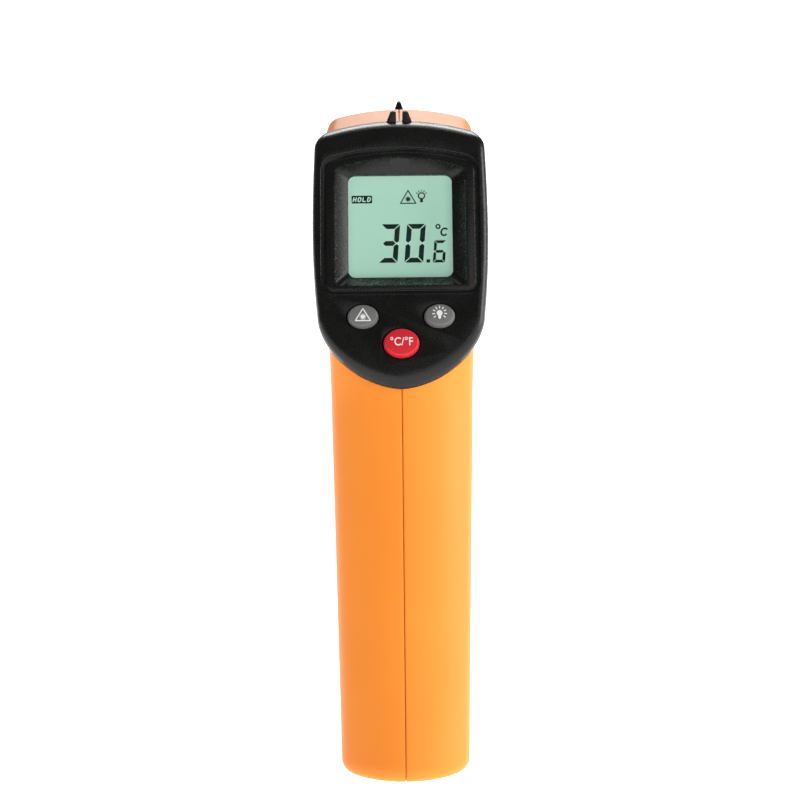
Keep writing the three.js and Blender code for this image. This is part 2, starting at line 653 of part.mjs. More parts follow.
function addBody() {
  const [skin, hollow, pocket] = [bodySkin(), bodyHollow(), bezelPocket()];
  part("left_shell", bodyHalf(-1, skin, hollow, pocket), orangePlastic);
  part("right_shell", bodyHalf(1, skin, hollow, pocket), orangePlastic);
  const screw = caseScrew();
  for (const { name, y, z } of CASE_SCREWS) part(name, screw, steel, thermometer, [0, y, z]);
  part("battery_door", batteryDoor(skin, hollow), orangePlastic);
}

function batteryDoor(skin, hollow) {
  const panel = skin.intersect(doorCutter(0)).subtract(hollow);
  const [earIn, earOut] = [8.6, DOOR.half - 0.1];
  const ear = (side) => {
    const [low, high] = side > 0 ? [earIn, earOut] : [-earOut, -earIn];
    const web = block([low, HINGE.y, 2.6], [high, 13.4, HINGE.z + 3]);
    return joined(crossRod(low, high, HINGE.y, HINGE.z, 2.2), web);
  };
  const latch = joined(block([-4, 11, 61], [4, 12.4, 67]), block([-4, 11, 60], [4, 17, 62.4]));
  const fittings = [ear(1), ear(-1), latch].map((piece) => inObjectFrame(piece, gripGroup).intersect(skin));
  const pins = [1, -1].map((side) =>
    inObjectFrame(crossRod(side * 11, side * HINGE.pinEnd, HINGE.y, HINGE.z, HINGE.pin, 16), gripGroup),
  );
  return joined(panel, ...fittings, ...pins);
}

function addNose() {
  part("nose_cap", noseCap(), blackPlastic);
  addOptics();
  addLaser();
}

// Lens, its ring and tube, and the sensor behind them, on the lens axis.
function addOptics() {
  const add = (name, shape, material) => part(name, shape, material, thermometer, [0, 0, OPTIC_AXIS_Z]);
  const lens = [[0, 42.2], [6.7, 42.2], [6.7, 43.1], [0, 43.6]];
  const ring = [[5.8, 40.6], [8, 40.6], [8, 41.9], [5.8, 41.9], [5.8, 40.6]];
  const tube = [[5.6, 40.3], [7.9, 40.3], [7.9, 20.4], [5.2, 20.4], [5.2, 24], [3.6, 24], [5.6, 40.3]];
  const can = [[0, 16], [4.9, 16], [4.9, 17], [4.2, 17], [4.2, 21.6], [2, 21.6], [2, 21.2], [0, 21.2]];
  add("ir_lens", turned(lens, 0, 0), lensMilk);
  add("lens_ring", turned(ring, 0, 0), blackPlastic);
  add("optics_tube", turned(tube, 0, 0), blackPlastic);
  add("thermopile_sensor", turned(can, 0, 0, 24), steel);
  add("sensor_board", block([-8.5, 14.2, -8.5], [8.5, 15.7, 8.5]), boardGreen);
}

// Aiming laser with its window and clamp, on the laser axis.
function addLaser() {
  const add = (name, shape, material) => part(name, shape, material, thermometer, [0, 0, LASER_AXIS_Z]);
  const barrel = [[0, 25], [3, 25], [3, 27], [3.2, 27], [3.2, 44.6], [1.2, 44.6], [1.2, 42.6], [0, 42.6]];
  const clampHole = rod(V3(0, 20, 0), V3(0, 50, 0), 3.5, 3.5, 24);
  add("laser_module", turned(barrel, 0, 0, 24), brass);
  add("laser_window", rod(V3(0, 44.9, 0), V3(0, 46.2, 0), 1.9), clearPlastic);
  add("laser_holder", block([-6, 30.5, -4.6], [6, 38, 3.9]).subtract(clampHole), blackPlastic);
}

function addDisplay() {
  const add = (name, shape, material, position) => part(name, shape, material, displayGroup, position);
  add("rear_bezel", rearBezel(), blackPlastic);
  const glass = roundedRectangle(-13.7, -13.2, 13.7, 14.7, 1.4);
  add("display_window", plate(glass, WINDOW.glassBack, WINDOW.glassFront), clearPlastic);
  add("lcd_panel", plate(roundedRectangle(-13.5, -13.8, 13.5, 14.5, 0.4, 1), -7.1, -4.9), lcdGreen);
  add("backlight_panel", plate(roundedRectangle(-13.3, -11.5, 13.3, 14.3, 0.4, 1), -9.6, -7.3), whitePlastic);
  const frame = plate(roundedRectangle(-14.9, -15.3, 14.9, 16, 1), -11.8, -5);
  const opening = plate(roundedRectangle(-13.8, -14, 13.8, 14.7, 0.6), -13, 0);
  add("lcd_frame", frame.subtract(opening), whitePlastic);
  add("zebra_strip", block([-13, -13.6, -11.8], [13, -11.9, -7.3]), pinkRubber);
  const mat = plate(boardOutline(13.9, -17.4, -32.6, -0.6), -9.8, -8.8);
  const stems = KEYS.map((key) => plate(ellipse(key.x, key.y, 2.3, 2.3, 18), -12, 0));
  const reliefs = BOARD_SCREWS.map(({ x, y }) => rod(V3(x, y, -12), V3(x, y, -6), 2.5, 2.5, 16));
  add("key_mat", carved(mat, ...stems, ...reliefs), greyRubber);
  for (const key of KEYS) add(key.name, keyCap(key), key.material, [key.x, key.y, 0]);
  add("main_board", mainBoard(), boardGreen);
  const chip = plate(roundedRectangle(-5, -5, 5, 5, 1.2), -15.6, BOARD.back - 0.1);
  add("controller_chip", chip, chipBlack, [-7.5, 2, 0]);
  BOARD_SCREWS.forEach(({ x, y }, i) => add(`board_screw_${i + 1}`, boardScrew(), steel, [x, y, 0]));
}

// Rubber key: domed cap, retaining flange and the stem that carries its contact pill.
function keyCap({ a, b }) {
  const level = (z, inset) => ellipse(0, 0, a - inset, b - inset).map((p) => V3(p.x, p.y, z));
  const cap = loft([
    level(-3.6, 0),
    level(0.35, 0.02),
    level(1.4, 0.25),
    level(1.75, 0.55),
    level(1.95, 1.3),
  ]);
  const flange = plate(ellipse(0, 0, a + 0.8, b + 0.8), -4.2, -2.9);
  const stem = rod(V3(0, 0, -11), V3(0, 0, -4), 1.9, 1.9, 16);
  return joined(cap, flange, stem);
}

function mainBoard() {
  const holes = BOARD_SCREWS.map(({ x, y }) => rod(V3(x, y, -20), V3(x, y, 0), 1.25, 1.25, 12));
  return carved(plate(boardOutline(14.9, 21.3, -33.4, 0), BOARD.back, BOARD.front), ...holes);
}

function boardScrew() {
  const head = rod(V3(0, 0, -15.1), V3(0, 0, BOARD.back - 0.1), 1.5, 1.9, 16);
  const shaft = rod(V3(0, 0, BOARD.back - 0.2), V3(0, 0, -6), 0.8, 0.6, 10);
  const slot = (w, h) => block([-w, -h, -18], [w, h, -14.5]);
  return carved(head.add(shaft), slot(1, 0.22), slot(0.22, 1));
}

function addTrigger() {
  part("trigger", trigger(), blackPlastic);
  const pin = crossRod(-9, 9, 0, 0, PIVOT.pin, 16);
  part("trigger_pin", pin, steel, thermometer, [0, PIVOT.y, PIVOT.z]);
  const spring = coil({ x: 0, z: 0, start: 2.7, end: -14.6, radius: 2.4, wire: 0.6, turns: 8 });
  part("trigger_spring", spring, steel, thermometer, [0, 0, 91]);
  const { half, back, front, bottom, top } = SWITCH_BOARD;
  part("switch_board", block([-half, back, bottom], [half, front, top]), boardGreen);
  const body = block([-3, front + 0.1, -3], [3, front + 3.5, 3]);
  const stem = rod(V3(0, front + 3.4, 0), V3(0, -10.2, 0), 1.6, 1.6, 16);
  part("trigger_switch", body.add(stem), chipBlack, thermometer, [0, 0, 83]);
}

// ---------------------------------------------------------------- battery compartment, in the grip group
const CELL = { radius: 5.2, length: 44.5, x: 5.6, y: 0.6, bottom: 14.6 };
const TRAY = { half: 12.2, back: -6.4, front: 7.4, bottom: 9.6, top: 64.4, wall: 1.2 };

function batteryTray() {
  const { half, back, front, bottom, top, wall } = TRAY;
  const outer = block([-half, back, bottom], [half, front, top]);
  const inner = block([-half + wall, back + wall, bottom + wall], [half - wall, front + 5, top - wall]);
  const divider = block([-0.3, back + 0.5, bottom + 4], [0.3, -1.4, top - 4]);
  const leadNotches = [-8, 8].map((x) => block([x - 1.2, 2, top - 3], [x + 1.2, 4.4, top + 1]));
  return carved(outer.subtract(inner).add(divider), ...leadNotches);
}

// A battery: can with a raised positive button at one end.
function cell(positiveUp) {
  const { radius, length } = CELL;
  const profile = [
    [0, 0],
    [radius - 0.5, 0],
    [radius, 0.5],
    [radius, length - 1.4],
    [radius - 0.6, length - 0.9],
    [1.9, length - 0.9],
    [1.9, length],
    [0, length],
  ].map(([r, y]) => V2(r, positiveUp ? y : length - y));
  const geometry = new THREE.LatheGeometry(profile, 24);
  geometry.rotateX(Math.PI / 2);
  return solid(geometry);
}

// Conical contact spring along Z, from a wide foot to a narrow tip.
function contactSpring(z0, z1, x) {
  class Cone extends THREE.Curve {
    getPoint(t, target = V3(0, 0, 0)) {
      const angle = 2 * Math.PI * 3 * t;
      const radius = blend(3, 1.5, t);
      return target.set(x + radius * Math.cos(angle), CELL.y + radius * Math.sin(angle), blend(z0, z1, t));
    }
  }
  const section = new THREE.Shape(ellipse(0, 0, 0.35, 0.35, 5));
  const coiled = { extrudePath: new Cone(), steps: 30, bevelEnabled: false };
  return solid(new THREE.ExtrudeGeometry(section, coiled));
}

function addBatteryCompartment() {
  const add = (name, shape, material, position) => part(name, shape, material, gripGroup, position);
  const { x, y, bottom, length } = CELL;
  add("battery_tray", batteryTray(), blackPlastic);
  add("battery_left", cell(true), cellWrap, [-x, y, bottom]);
  add("battery_right", cell(false), cellWrap, [x, y, bottom]);
  const [floor, roof] = [TRAY.bottom + TRAY.wall + 0.15, TRAY.top - TRAY.wall - 0.15];
  const foot = (x0, x1, z0, z1) => block([x0, y - 4, z0], [x1, y + 4, z1]);
  const plusDimple = rod(V3(-x, y, roof - 0.4), V3(-x, y, bottom + length + 0.35), 2.2, 1.6, 16);
  const minusSpring = contactSpring(roof - 0.4, bottom + length + 0.7, x);
  add("contact_positive", foot(-9.8, -1.2, roof - 0.5, roof).add(plusDimple), steel);
  add("contact_negative", foot(1.2, 9.8, roof - 0.5, roof).add(minusSpring), steel);
  const bridge = foot(-9.8, 9.8, floor, floor + 0.5);
  const bridgeDimple = rod(V3(x, y, floor + 0.4), V3(x, y, bottom - 0.3), 2.2, 1.6, 16);
  const bridgeSpring = contactSpring(floor + 0.4, bottom - 0.7, -x);
  add("contact_bridge", joined(bridge, bridgeSpring, bridgeDimple), steel);
}

// ---------------------------------------------------------------- wiring, held inside along its whole length
function addWiring() {
  const batteryLead = (side) => [
    V3(side * 8, -20.2, 65.4),
    V3(side * 8, -19.4, 69),
    V3(side * 7.6, -19.4, 75),
    V3(side * 6.8, -19.6, 83),
    V3(side * 6, -20, 89),
    V3(side * 5.6, -20, 94.2),
  ];
  part("battery_lead_red", cable(batteryLead(-1), 0.65, 14), redWire);
  part("battery_lead_black", cable(batteryLead(1), 0.65, 14), blackWire);
  const laserLead = (x) => [
    V3(x, 24.6, LASER_AXIS_Z),
    V3(x, 21, LASER_AXIS_Z),
    V3(x, 13, 139),
    V3(x, 4, 135.6),
    V3(x, -2.4, 133.4),
  ];
  part("laser_lead_red", cable(laserLead(-1.2), 0.5, 12), redWire);
  part("laser_lead_black", cable(laserLead(1.2), 0.5, 12), blackWire);
  const sensorRun = [[13.8, 125], [9, 127], [4, 123], [-1, 118.5], [-6.6, 120.2]];
  const switchRun = [[-15.4, 98.2], [-16.2, 99.4], [-17.2, 99.6], [-18.2, 98.9]];
  part("sensor_ribbon", ribbon(sensorRun, -4.5, 4.5), ribbonAmber);
  part("switch_ribbon", ribbon(switchRun, -2, 2), ribbonAmber);
}

// Flat flexible cable of even thickness along a line in (Y, Z).
function ribbon(points, x0, x1) {
  const line = new THREE.SplineCurve(points.map(([y, z]) => V2(y, z)));
  const steps = 12;
  const thickness = 0.3;
  const edge = (offset) =>
    Array.from({ length: steps + 1 }, (_, i) => {
      const along = line.getTangent(i / steps);
      return line.getPoint(i / steps).add(V2(-along.y, along.x).multiplyScalar(offset));
    });
  return sidePlate([...edge(thickness / 2), ...edge(-thickness / 2).reverse()], x0, x1);
}

addBody();
addNose();
addDisplay();
addTrigger();
addBatteryCompartment();
addWiring();

export default thermometer;
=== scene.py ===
import math
import bpy
import bmesh
from mathutils import Matrix, Vector


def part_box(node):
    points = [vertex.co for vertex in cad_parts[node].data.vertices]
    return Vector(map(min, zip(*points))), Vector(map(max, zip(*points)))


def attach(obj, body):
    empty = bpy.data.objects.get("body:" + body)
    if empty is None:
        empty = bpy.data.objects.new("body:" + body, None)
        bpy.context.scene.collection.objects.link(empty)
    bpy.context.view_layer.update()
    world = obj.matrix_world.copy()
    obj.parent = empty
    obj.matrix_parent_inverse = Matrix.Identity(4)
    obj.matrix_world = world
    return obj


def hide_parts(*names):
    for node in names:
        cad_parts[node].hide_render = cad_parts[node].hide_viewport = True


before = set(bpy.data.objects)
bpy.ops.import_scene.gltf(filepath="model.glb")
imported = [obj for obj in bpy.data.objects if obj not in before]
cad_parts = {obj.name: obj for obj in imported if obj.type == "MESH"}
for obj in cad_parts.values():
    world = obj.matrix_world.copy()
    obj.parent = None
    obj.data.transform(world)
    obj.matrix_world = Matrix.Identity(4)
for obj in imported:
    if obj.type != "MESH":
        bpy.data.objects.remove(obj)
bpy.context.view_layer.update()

print("frame loaded")

mm = 0.001
sceneRoot = bpy.context.scene.collection

# The display's own axes: x as the object's, y up the face, z out of the face.
faceTilt = math.radians(24)
faceMatrix = Matrix.Translation((0, -20.8, 127.3)) @ Matrix.Rotation(math.pi / 2 - faceTilt, 4, "X")
# The grip's own axes: z up the grip, y to its front.
gripRake = math.radians(11)
gripMatrix = Matrix.Translation((0, -35.5, 0)) @ Matrix.Rotation(-gripRake, 4, "X")
plainMatrix = Matrix.Identity(4)


# Meshes from rings and outlines, all in millimetres until the object is made.

def meshObject(name, verts, faces, matrix=plainMatrix):
    mesh = bpy.data.meshes.new(name)
    mesh.from_pydata([(matrix @ Vector(v)) * mm for v in verts], [], faces)
    shape = bmesh.new()
    shape.from_mesh(mesh)
    bmesh.ops.remove_doubles(shape, verts=shape.verts, dist=1e-7)
    bmesh.ops.recalc_face_normals(shape, faces=shape.faces)
    shape.to_mesh(mesh)
    shape.free()
    piece = bpy.data.objects.new(name, mesh)
    sceneRoot.objects.link(piece)
    return piece


def loft(name, rings, matrix=plainMatrix, caps=True):
    count = len(rings[0])
    verts = [p for ring in rings for p in ring]
    faces = []
    for r in range(len(rings) - 1):
        for i in range(count):
            a = r * count + i
            b = r * count + (i + 1) % count
            faces.append((a, b, b + count, a + count))
    if caps:
        faces.append(tuple(reversed(range(count))))
        faces.append(tuple(range((len(rings) - 1) * count, len(rings) * count)))
    return meshObject(name, verts, faces, matrix)


def circle(sides):
    turn = [2 * math.pi * i / sides for i in range(sides)]
    return [(math.cos(a), math.sin(a)) for a in turn]


# Angles of a quarter circle, from 0 to a right angle.
def quarterTurn(steps):
    return [math.pi / 2 * i / steps for i in range(steps + 1)]


def lifted(outline, z):
    return [(x, y, z) for x, y in outline]


def plate(name, outline, low, high, matrix=plainMatrix):
    return loft(name, [lifted(outline, z) for z in (low, high)], matrix)


# A plate whose outline changes with height: levels are (z, how far the outline has moved).
def cushionPlate(name, outlineAt, levels, matrix=plainMatrix):
    return loft(name, [lifted(outlineAt(moved), z) for z, moved in levels], matrix)


def turned(name, profile, matrix=plainMatrix, sides=64):
    rings = []
    for radius, y in profile:
        radius = max(radius, 1e-3)
        rings.append([(radius * c, y, radius * s) for c, s in circle(sides)])
    return loft(name, rings, matrix)


def rod(name, start, end, radius, sides=48, matrix=plainMatrix):
    start, end = Vector(start), Vector(end)
    along = (end - start).normalized()
    side = along.orthogonal().normalized()
    other = along.cross(side)
    ring = [side * c * radius + other * s * radius for c, s in circle(sides)]
    return loft(name, [[start + p for p in ring], [end + p for p in ring]], matrix)


def block(name, low, high, matrix=plainMatrix):
    outline = [(low[0], low[1]), (high[0], low[1]), (high[0], high[1]), (low[0], high[1])]
    return plate(name, outline, low[2], high[2], matrix)


def combine(piece, others, operation="DIFFERENCE"):
    for other in others:
        cut = piece.modifiers.new("cut", "BOOLEAN")
        cut.operation = operation
        cut.solver = "MANIFOLD"
        cut.object = other
    bpy.context.view_layer.update()
    evaluated = piece.evaluated_get(bpy.context.evaluated_depsgraph_get())
    mesh = bpy.data.meshes.new_from_object(evaluated)
    piece.modifiers.clear()
    old = piece.data
    piece.data = mesh
    bpy.data.meshes.remove(old)
    for other in others:
        bpy.data.objects.remove(other)
    if not piece.data.polygons:
        raise RuntimeError("a cut left nothing of " + piece.name)
    return piece


def smooth(piece, angle=32):
    mesh = piece.data
    mesh.polygons.foreach_set("use_smooth", [True] * len(mesh.polygons))
    mesh.set_sharp_from_angle(angle=math.radians(angle))
    return piece


def place(piece, finish, body, slot, replaced=()):
    piece.data.materials.clear()
    piece.data.materials.append(finish)
    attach(piece, body)
    if replaced:
        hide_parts(*replaced)
    return piece


# Outlines.

def arc(cx, cy, radius, start, end, count):
    turn = [start + (end - start) * i / count for i in range(count)]
    return [(cx + radius * math.cos(a), cy + radius * math.sin(a)) for a in turn]


# From the apex of a crown, round a corner, to the side: three tangent arcs.
def crownedQuarter(half, apex, crownR, cornerR, sideR, steps):
    crown = Vector((0, apex - crownR))
    side = Vector((half - sideR, 0))
    between = side - crown
    reachA, reachB, span = crownR - cornerR, sideR - cornerR, between.length
    along = (reachA ** 2 - reachB ** 2 + span ** 2) / (2 * span)
    across = math.sqrt(reachA ** 2 - along ** 2)
    unit = between / span
    corner = crown + unit * along + Vector((unit.y, -unit.x)) * across
    crownEnd = math.atan2(corner.y - crown.y, corner.x - crown.x)
    sideEnd = math.atan2(corner.y - side.y, corner.x - side.x)
    points = arc(crown.x, crown.y, crownR, math.pi / 2, crownEnd, steps[0])
    points += arc(corner.x, corner.y, cornerR, crownEnd, sideEnd, steps[1])
    points += arc(side.x, side.y, sideR, sideEnd, 0, steps[2])
    return points + [(half, 0)]


def mirrored(right):
    return right + [(-x, y) for x, y in reversed(right[1:-1])]


def ellipse(cx, cy, a, b, sides=96):
    return [(cx + a * c, cy + b * s) for c, s in circle(sides)]


def roundedRectangle(x0, y0, x1, y1, radius, steps=10):
    centres = [(x1 - radius, y1 - radius), (x0 + radius, y1 - radius),
               (x0 + radius, y0 + radius), (x1 - radius, y0 + radius)]
    points = []
    for quarter, (cx, cy) in enumerate(centres):
        for i in range(steps + 1):
            a = math.pi / 2 * (quarter + i / steps)
            points.append((cx + radius * math.cos(a), cy + radius * math.sin(a)))
    return points


# Shader maths and finishes.

class Value:
    def __init__(self, tree, socket):
        self.tree, self.socket = tree, socket

    def maths(self, operation, first, second):
        node = self.tree.nodes.new("ShaderNodeMath")
        node.operation = operation
        for socket, given in zip(node.inputs, (first, second)):
            if isinstance(given, Value):
                self.tree.links.new(given.socket, socket)
            else:
                socket.default_value = given
        return Value(self.tree, node.outputs[0])

    def __add__(self, other):
        return self.maths("ADD", self, other)

    def __radd__(self, other):
        return self.maths("ADD", other, self)

    def __sub__(self, other):
        return self.maths("SUBTRACT", self, other)

    def __rsub__(self, other):
        return self.maths("SUBTRACT", other, self)

    def __mul__(self, other):
        return self.maths("MULTIPLY", self, other)

    def __rmul__(self, other):
        return self.maths("MULTIPLY", other, self)

    def __gt__(self, other):
        return self.maths("GREATER_THAN", self, other)

    def __lt__(self, other):
        return self.maths("LESS_THAN", self, other)


class Finish:
    def __init__(self, name, fixed):
        self.material = bpy.data.materials.new(name)
        self.material.use_nodes = True
        self.tree = self.material.node_tree
        self.shader = self.tree.nodes["Principled BSDF"]
        for socket, given in fixed.items():
            self.shader.inputs[socket].default_value = given

    def node(self, kind, settings, inputs, output=0):
        node = self.tree.nodes.new(kind)
        for key, given in settings.items():
            if key == "stops":
                for i, (at, colour) in enumerate(given):
                    ramp = node.color_ramp.elements
                    stop = ramp[i] if i < len(ramp) else ramp.new(at)
                    stop.position, stop.color = at, colour
            else:
                setattr(node, key, given)
        for key, given in inputs.items():
            if isinstance(given, Value):
                self.tree.links.new(given.socket, node.inputs[key])
            else:
                node.inputs[key].default_value = given
        return Value(self.tree, node.outputs[output])

    def feed(self, socket, value):
        self.tree.links.new(value.socket, self.shader.inputs[socket])

    def place(self):
        return self.node("ShaderNodeTexCoord", {}, {}, "Object")

    def noise(self, perMetre, detail=2.0, roughness=0.5):
        inputs = {"Vector": self.place(), "Scale": perMetre, "Detail": detail, "Roughness": roughness}
        return self.node("ShaderNodeTexNoise", {}, inputs)

    def spread(self, value, toLow=0.0, toHigh=1.0, low=0.3, high=0.7):
        inputs = {"Value": value, "From Min": low, "From Max": high, "To Min": toLow, "To Max": toHigh}
        return self.node("ShaderNodeMapRange", {}, inputs)

    def mixColour(self, factor, first, second):
        return self.node("ShaderNodeMix", {"data_type": "RGBA"}, {"Factor": factor, 6: first, 7: second}, 2)

    def bump(self, height, depth, strength=1.0):
        inputs = {"Height": height, "Distance": depth, "Strength": strength}
        self.feed("Normal", self.node("ShaderNodeBump", {}, inputs))


def colour(red, green, blue):
    return (red, green, blue, 1.0)


# Moulded plastic: spark-eroded grain, faint mottling and roughness that follows the grain.
def mouldedPlastic(name, look):
    finish = Finish(name, {"Specular IOR Level": look["specular"]})
    grain = finish.noise(look["grainPerMetre"], 3.0, 0.6)
    mottle = finish.noise(look["mottlePerMetre"], 3.0)
    finish.feed("Base Color", finish.mixColour(finish.spread(mottle), look["dark"], look["light"]))
    rough, swing = look["rough"], look["roughSwing"]
    roughness = finish.spread(grain, rough - swing, rough + swing)
    wiped = finish.spread(mottle, -0.03, 0.03, 0.35)
    finish.feed("Roughness", roughness + wiped)
    finish.bump(grain, look["grainDepth"], look.get("grainStrength", 0.6))
    return finish.material


def metal(name, look):
    finish = Finish(name, {"Metallic": 1.0})
    scratch = finish.noise(look["scratchPerMetre"], 4.0, 0.7)
    stain = finish.noise(look["stainPerMetre"], 2.0)
    finish.feed("Base Color", finish.mixColour(finish.spread(stain, low=0.35), look["light"], look["dark"]))
    finish.feed("Roughness", finish.spread(scratch, look["rough"] - 0.08, look["rough"] + 0.1))
    finish.bump(scratch, 0.00002, 0.4)
    return finish.material


# Soft silicone: fine bloom, no sharp gloss.
def silicone(name, light, dark, rough):
    finish = Finish(name, {"Specular IOR Level": 0.4, "Sheen Weight": 0.05})
    bloom = finish.noise(900, 3.0)
    fine = finish.noise(9000, 2.0)
    finish.feed("Base Color", finish.mixColour(finish.spread(bloom), dark, light))
    finish.feed("Roughness", finish.spread(fine, rough - 0.06, rough + 0.06))
    finish.bump(fine, 0.00002, 0.35)
    return finish.material


bodyLook = {"light": colour(0.97, 0.285, 0.026), "dark": colour(0.94, 0.268, 0.022), "specular": 0.28,
            "rough": 0.4, "roughSwing": 0.05, "grainPerMetre": 5200, "mottlePerMetre": 45,
            "grainDepth": 0.00003}
bezelLook = {"light": colour(0.0065, 0.0065, 0.006), "dark": colour(0.004, 0.0036, 0.0033), "specular": 0.3,
             "rough": 0.26, "roughSwing": 0.09, "grainPerMetre": 2900, "mottlePerMetre": 160,
             "grainDepth": 0.00006, "grainStrength": 0.8}
trayLook = dict(bezelLook, rough=0.5, specular=0.4, grainPerMetre=2600)
whiteLook = {"light": colour(0.80, 0.80, 0.77), "dark": colour(0.72, 0.72, 0.69), "specular": 0.4,
             "rough": 0.45, "roughSwing": 0.04, "grainPerMetre": 4000, "mottlePerMetre": 90,
             "grainDepth": 0.00002}
lensLook = {"light": colour(0.74, 0.74, 0.70), "dark": colour(0.66, 0.66, 0.62), "specular": 0.5,
            "rough": 0.28, "roughSwing": 0.03, "grainPerMetre": 2000, "mottlePerMetre": 300,
            "grainDepth": 0.00001}
chipLook = dict(bezelLook, rough=0.4, grainPerMetre=6000, grainDepth=0.00002)
redWireLook = dict(whiteLook, light=colour(0.55, 0.02, 0.015), dark=colour(0.45, 0.015, 0.012))
blackWireLook = dict(whiteLook, light=colour(0.02, 0.02, 0.02), dark=colour(0.012, 0.012, 0.012))
ribbonLook = dict(whiteLook, light=colour(0.55, 0.24, 0.04), dark=colour(0.42, 0.17, 0.03), rough=0.3)
zebraLook = dict(whiteLook, light=colour(0.60, 0.33, 0.35), dark=colour(0.48, 0.24, 0.27))
steelLook = {"light": colour(0.40, 0.41, 0.42), "dark": colour(0.28, 0.28, 0.29), "rough": 0.32,
             "scratchPerMetre": 2600, "stainPerMetre": 400}
brassLook = dict(steelLook, light=colour(0.72, 0.50, 0.20), dark=colour(0.55, 0.36, 0.13))


# Circuit board: solder mask with the faint relief of the copper tracks beneath it.
def circuitBoard():
    finish = Finish("circuitBoard", {"Coat Weight": 0.3, "Coat Roughness": 0.2})
    blocks = finish.node("ShaderNodeTexVoronoi", {"feature": "F1", "distance": "MANHATTAN"},
                         {"Vector": finish.place(), "Scale": 420.0})
    tracks = finish.spread(blocks, low=0.25, high=0.32)
    finish.feed("Base Color", finish.mixColour(tracks, colour(0.012, 0.11, 0.04), colour(0.02, 0.19, 0.07)))
    finish.feed("Roughness", finish.spread(finish.noise(1500), 0.3, 0.45))
    finish.bump(tracks, 0.00003, 0.5)
    return finish.material


# Printed shrink film over a cell: a dark body and a copper-coloured band at the positive end.
def cellFilm(name, bandAbove, bandBelow):
    finish = Finish(name, {"Coat Weight": 0.6, "Coat Roughness": 0.15, "Metallic": 0.35})
    height = finish.node("ShaderNodeSeparateXYZ", {}, {"Vector": finish.place()}, "Z")
    band = (height > bandAbove) * (height < bandBelow)
    scuff = finish.noise(1200, 3.0)
    shade = finish.spread(scuff, low=0.35)
    film = finish.mixColour(shade, colour(0.012, 0.02, 0.09), colour(0.02, 0.032, 0.13))
    finish.feed("Base Color", finish.mixColour(band, film, colour(0.62, 0.27, 0.09)))
    finish.feed("Roughness", finish.spread(scuff, 0.25, 0.38))
    finish.bump(finish.noise(500), 0.00004, 0.3)
    return finish.material


# Lit display glass: brightest towards its edges, with a fine dot texture of the light guide.
displayLook = {"centre": colour(0.25, 0.43, 0.34), "edge": colour(0.31, 0.50, 0.41), "glow": 0.62}


def litDisplay():
    finish = Finish("litDisplay", {"Roughness": 0.35, "Specular IOR Level": 0.35,
                                   "Emission Strength": displayLook["glow"]})
    low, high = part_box("lcd_panel")
    middle, size = (low + high) / 2, (high - low) / 2
    place = finish.place()
    x = finish.node("ShaderNodeSeparateXYZ", {}, {"Vector": place}, "X")
    z = finish.node("ShaderNodeSeparateXYZ", {}, {"Vector": place}, "Z")
    across = (x - middle.x) * (1 / size.x)
    up = (z - middle.z) * (1 / size.z)
    towardsEdge = finish.spread(across * across * across * across + up * up * 0.45, low=0.0, high=1.2)
    dots = finish.spread(finish.noise(2500, 1.0), -0.03, 0.03)
    glow = finish.mixColour(towardsEdge + dots, displayLook["centre"], displayLook["edge"])
    finish.feed("Base Color", glow)
    finish.feed("Emission Color", glow)
    return finish.material


def clearPane():
    finish = Finish("clearPane", {"Base Color": colour(0.9, 0.97, 0.94), "Specular IOR Level": 0.5})
    smear = finish.noise(220, 3.0)
    finish.feed("Alpha", finish.spread(smear, 0.004, 0.009))
    finish.feed("Roughness", finish.spread(smear, 0.05, 0.12))
    return finish.material


# Printed marks: nearly flat ink that shows the surface's grain.
def ink(name, light, dark, glow=0.0, gloss=0.3):
    finish = Finish(name, {"Emission Strength": glow, "Specular IOR Level": gloss})
    wear = finish.noise(4200, 3.0)
    shade = finish.mixColour(finish.spread(wear), dark, light)
    finish.feed("Base Color", shade)
    if glow:
        finish.feed("Emission Color", shade)
    finish.feed("Roughness", finish.spread(wear, 0.45, 0.6))
    return finish.material


orangePlastic = mouldedPlastic("orangePlastic", bodyLook)
blackPlastic = mouldedPlastic("blackPlastic", bezelLook)
trayPlastic = mouldedPlastic("trayPlastic", trayLook)
whitePlastic = mouldedPlastic("whitePlastic", whiteLook)
milkyLens = mouldedPlastic("milkyLens", lensLook)
chipEpoxy = mouldedPlastic("chipEpoxy", chipLook)
redInsulation = mouldedPlastic("redInsulation", redWireLook)
blackInsulation = mouldedPlastic("blackInsulation", blackWireLook)
ribbonFilm = mouldedPlastic("ribbonFilm", ribbonLook)
zebraRubber = mouldedPlastic("zebraRubber", zebraLook)
platedSteel = metal("platedSteel", steelLook)
turnedBrass = metal("turnedBrass", brassLook)
greySilicone = silicone("greySilicone", colour(0.148, 0.148, 0.142), colour(0.126, 0.126, 0.122), 0.5)
redSilicone = silicone("redSilicone", colour(0.64, 0.013, 0.026), colour(0.58, 0.011, 0.022), 0.42)
greenBoard = circuitBoard()
displayGlow = litDisplay()
clearWindow = clearPane()
segmentInk = ink("segmentInk", colour(0.001, 0.016, 0.013), colour(0.0008, 0.012, 0.01), 0.0, 0.05)
segmentHalo = ink("segmentHalo", colour(0.40, 0.60, 0.50), colour(0.36, 0.56, 0.46), 0.5)
keyPrint = ink("keyPrint", colour(0.86, 0.86, 0.84), colour(0.76, 0.76, 0.74))
print("finishes made")


# Body skin: sections from the barrel's front round to the grip's base.

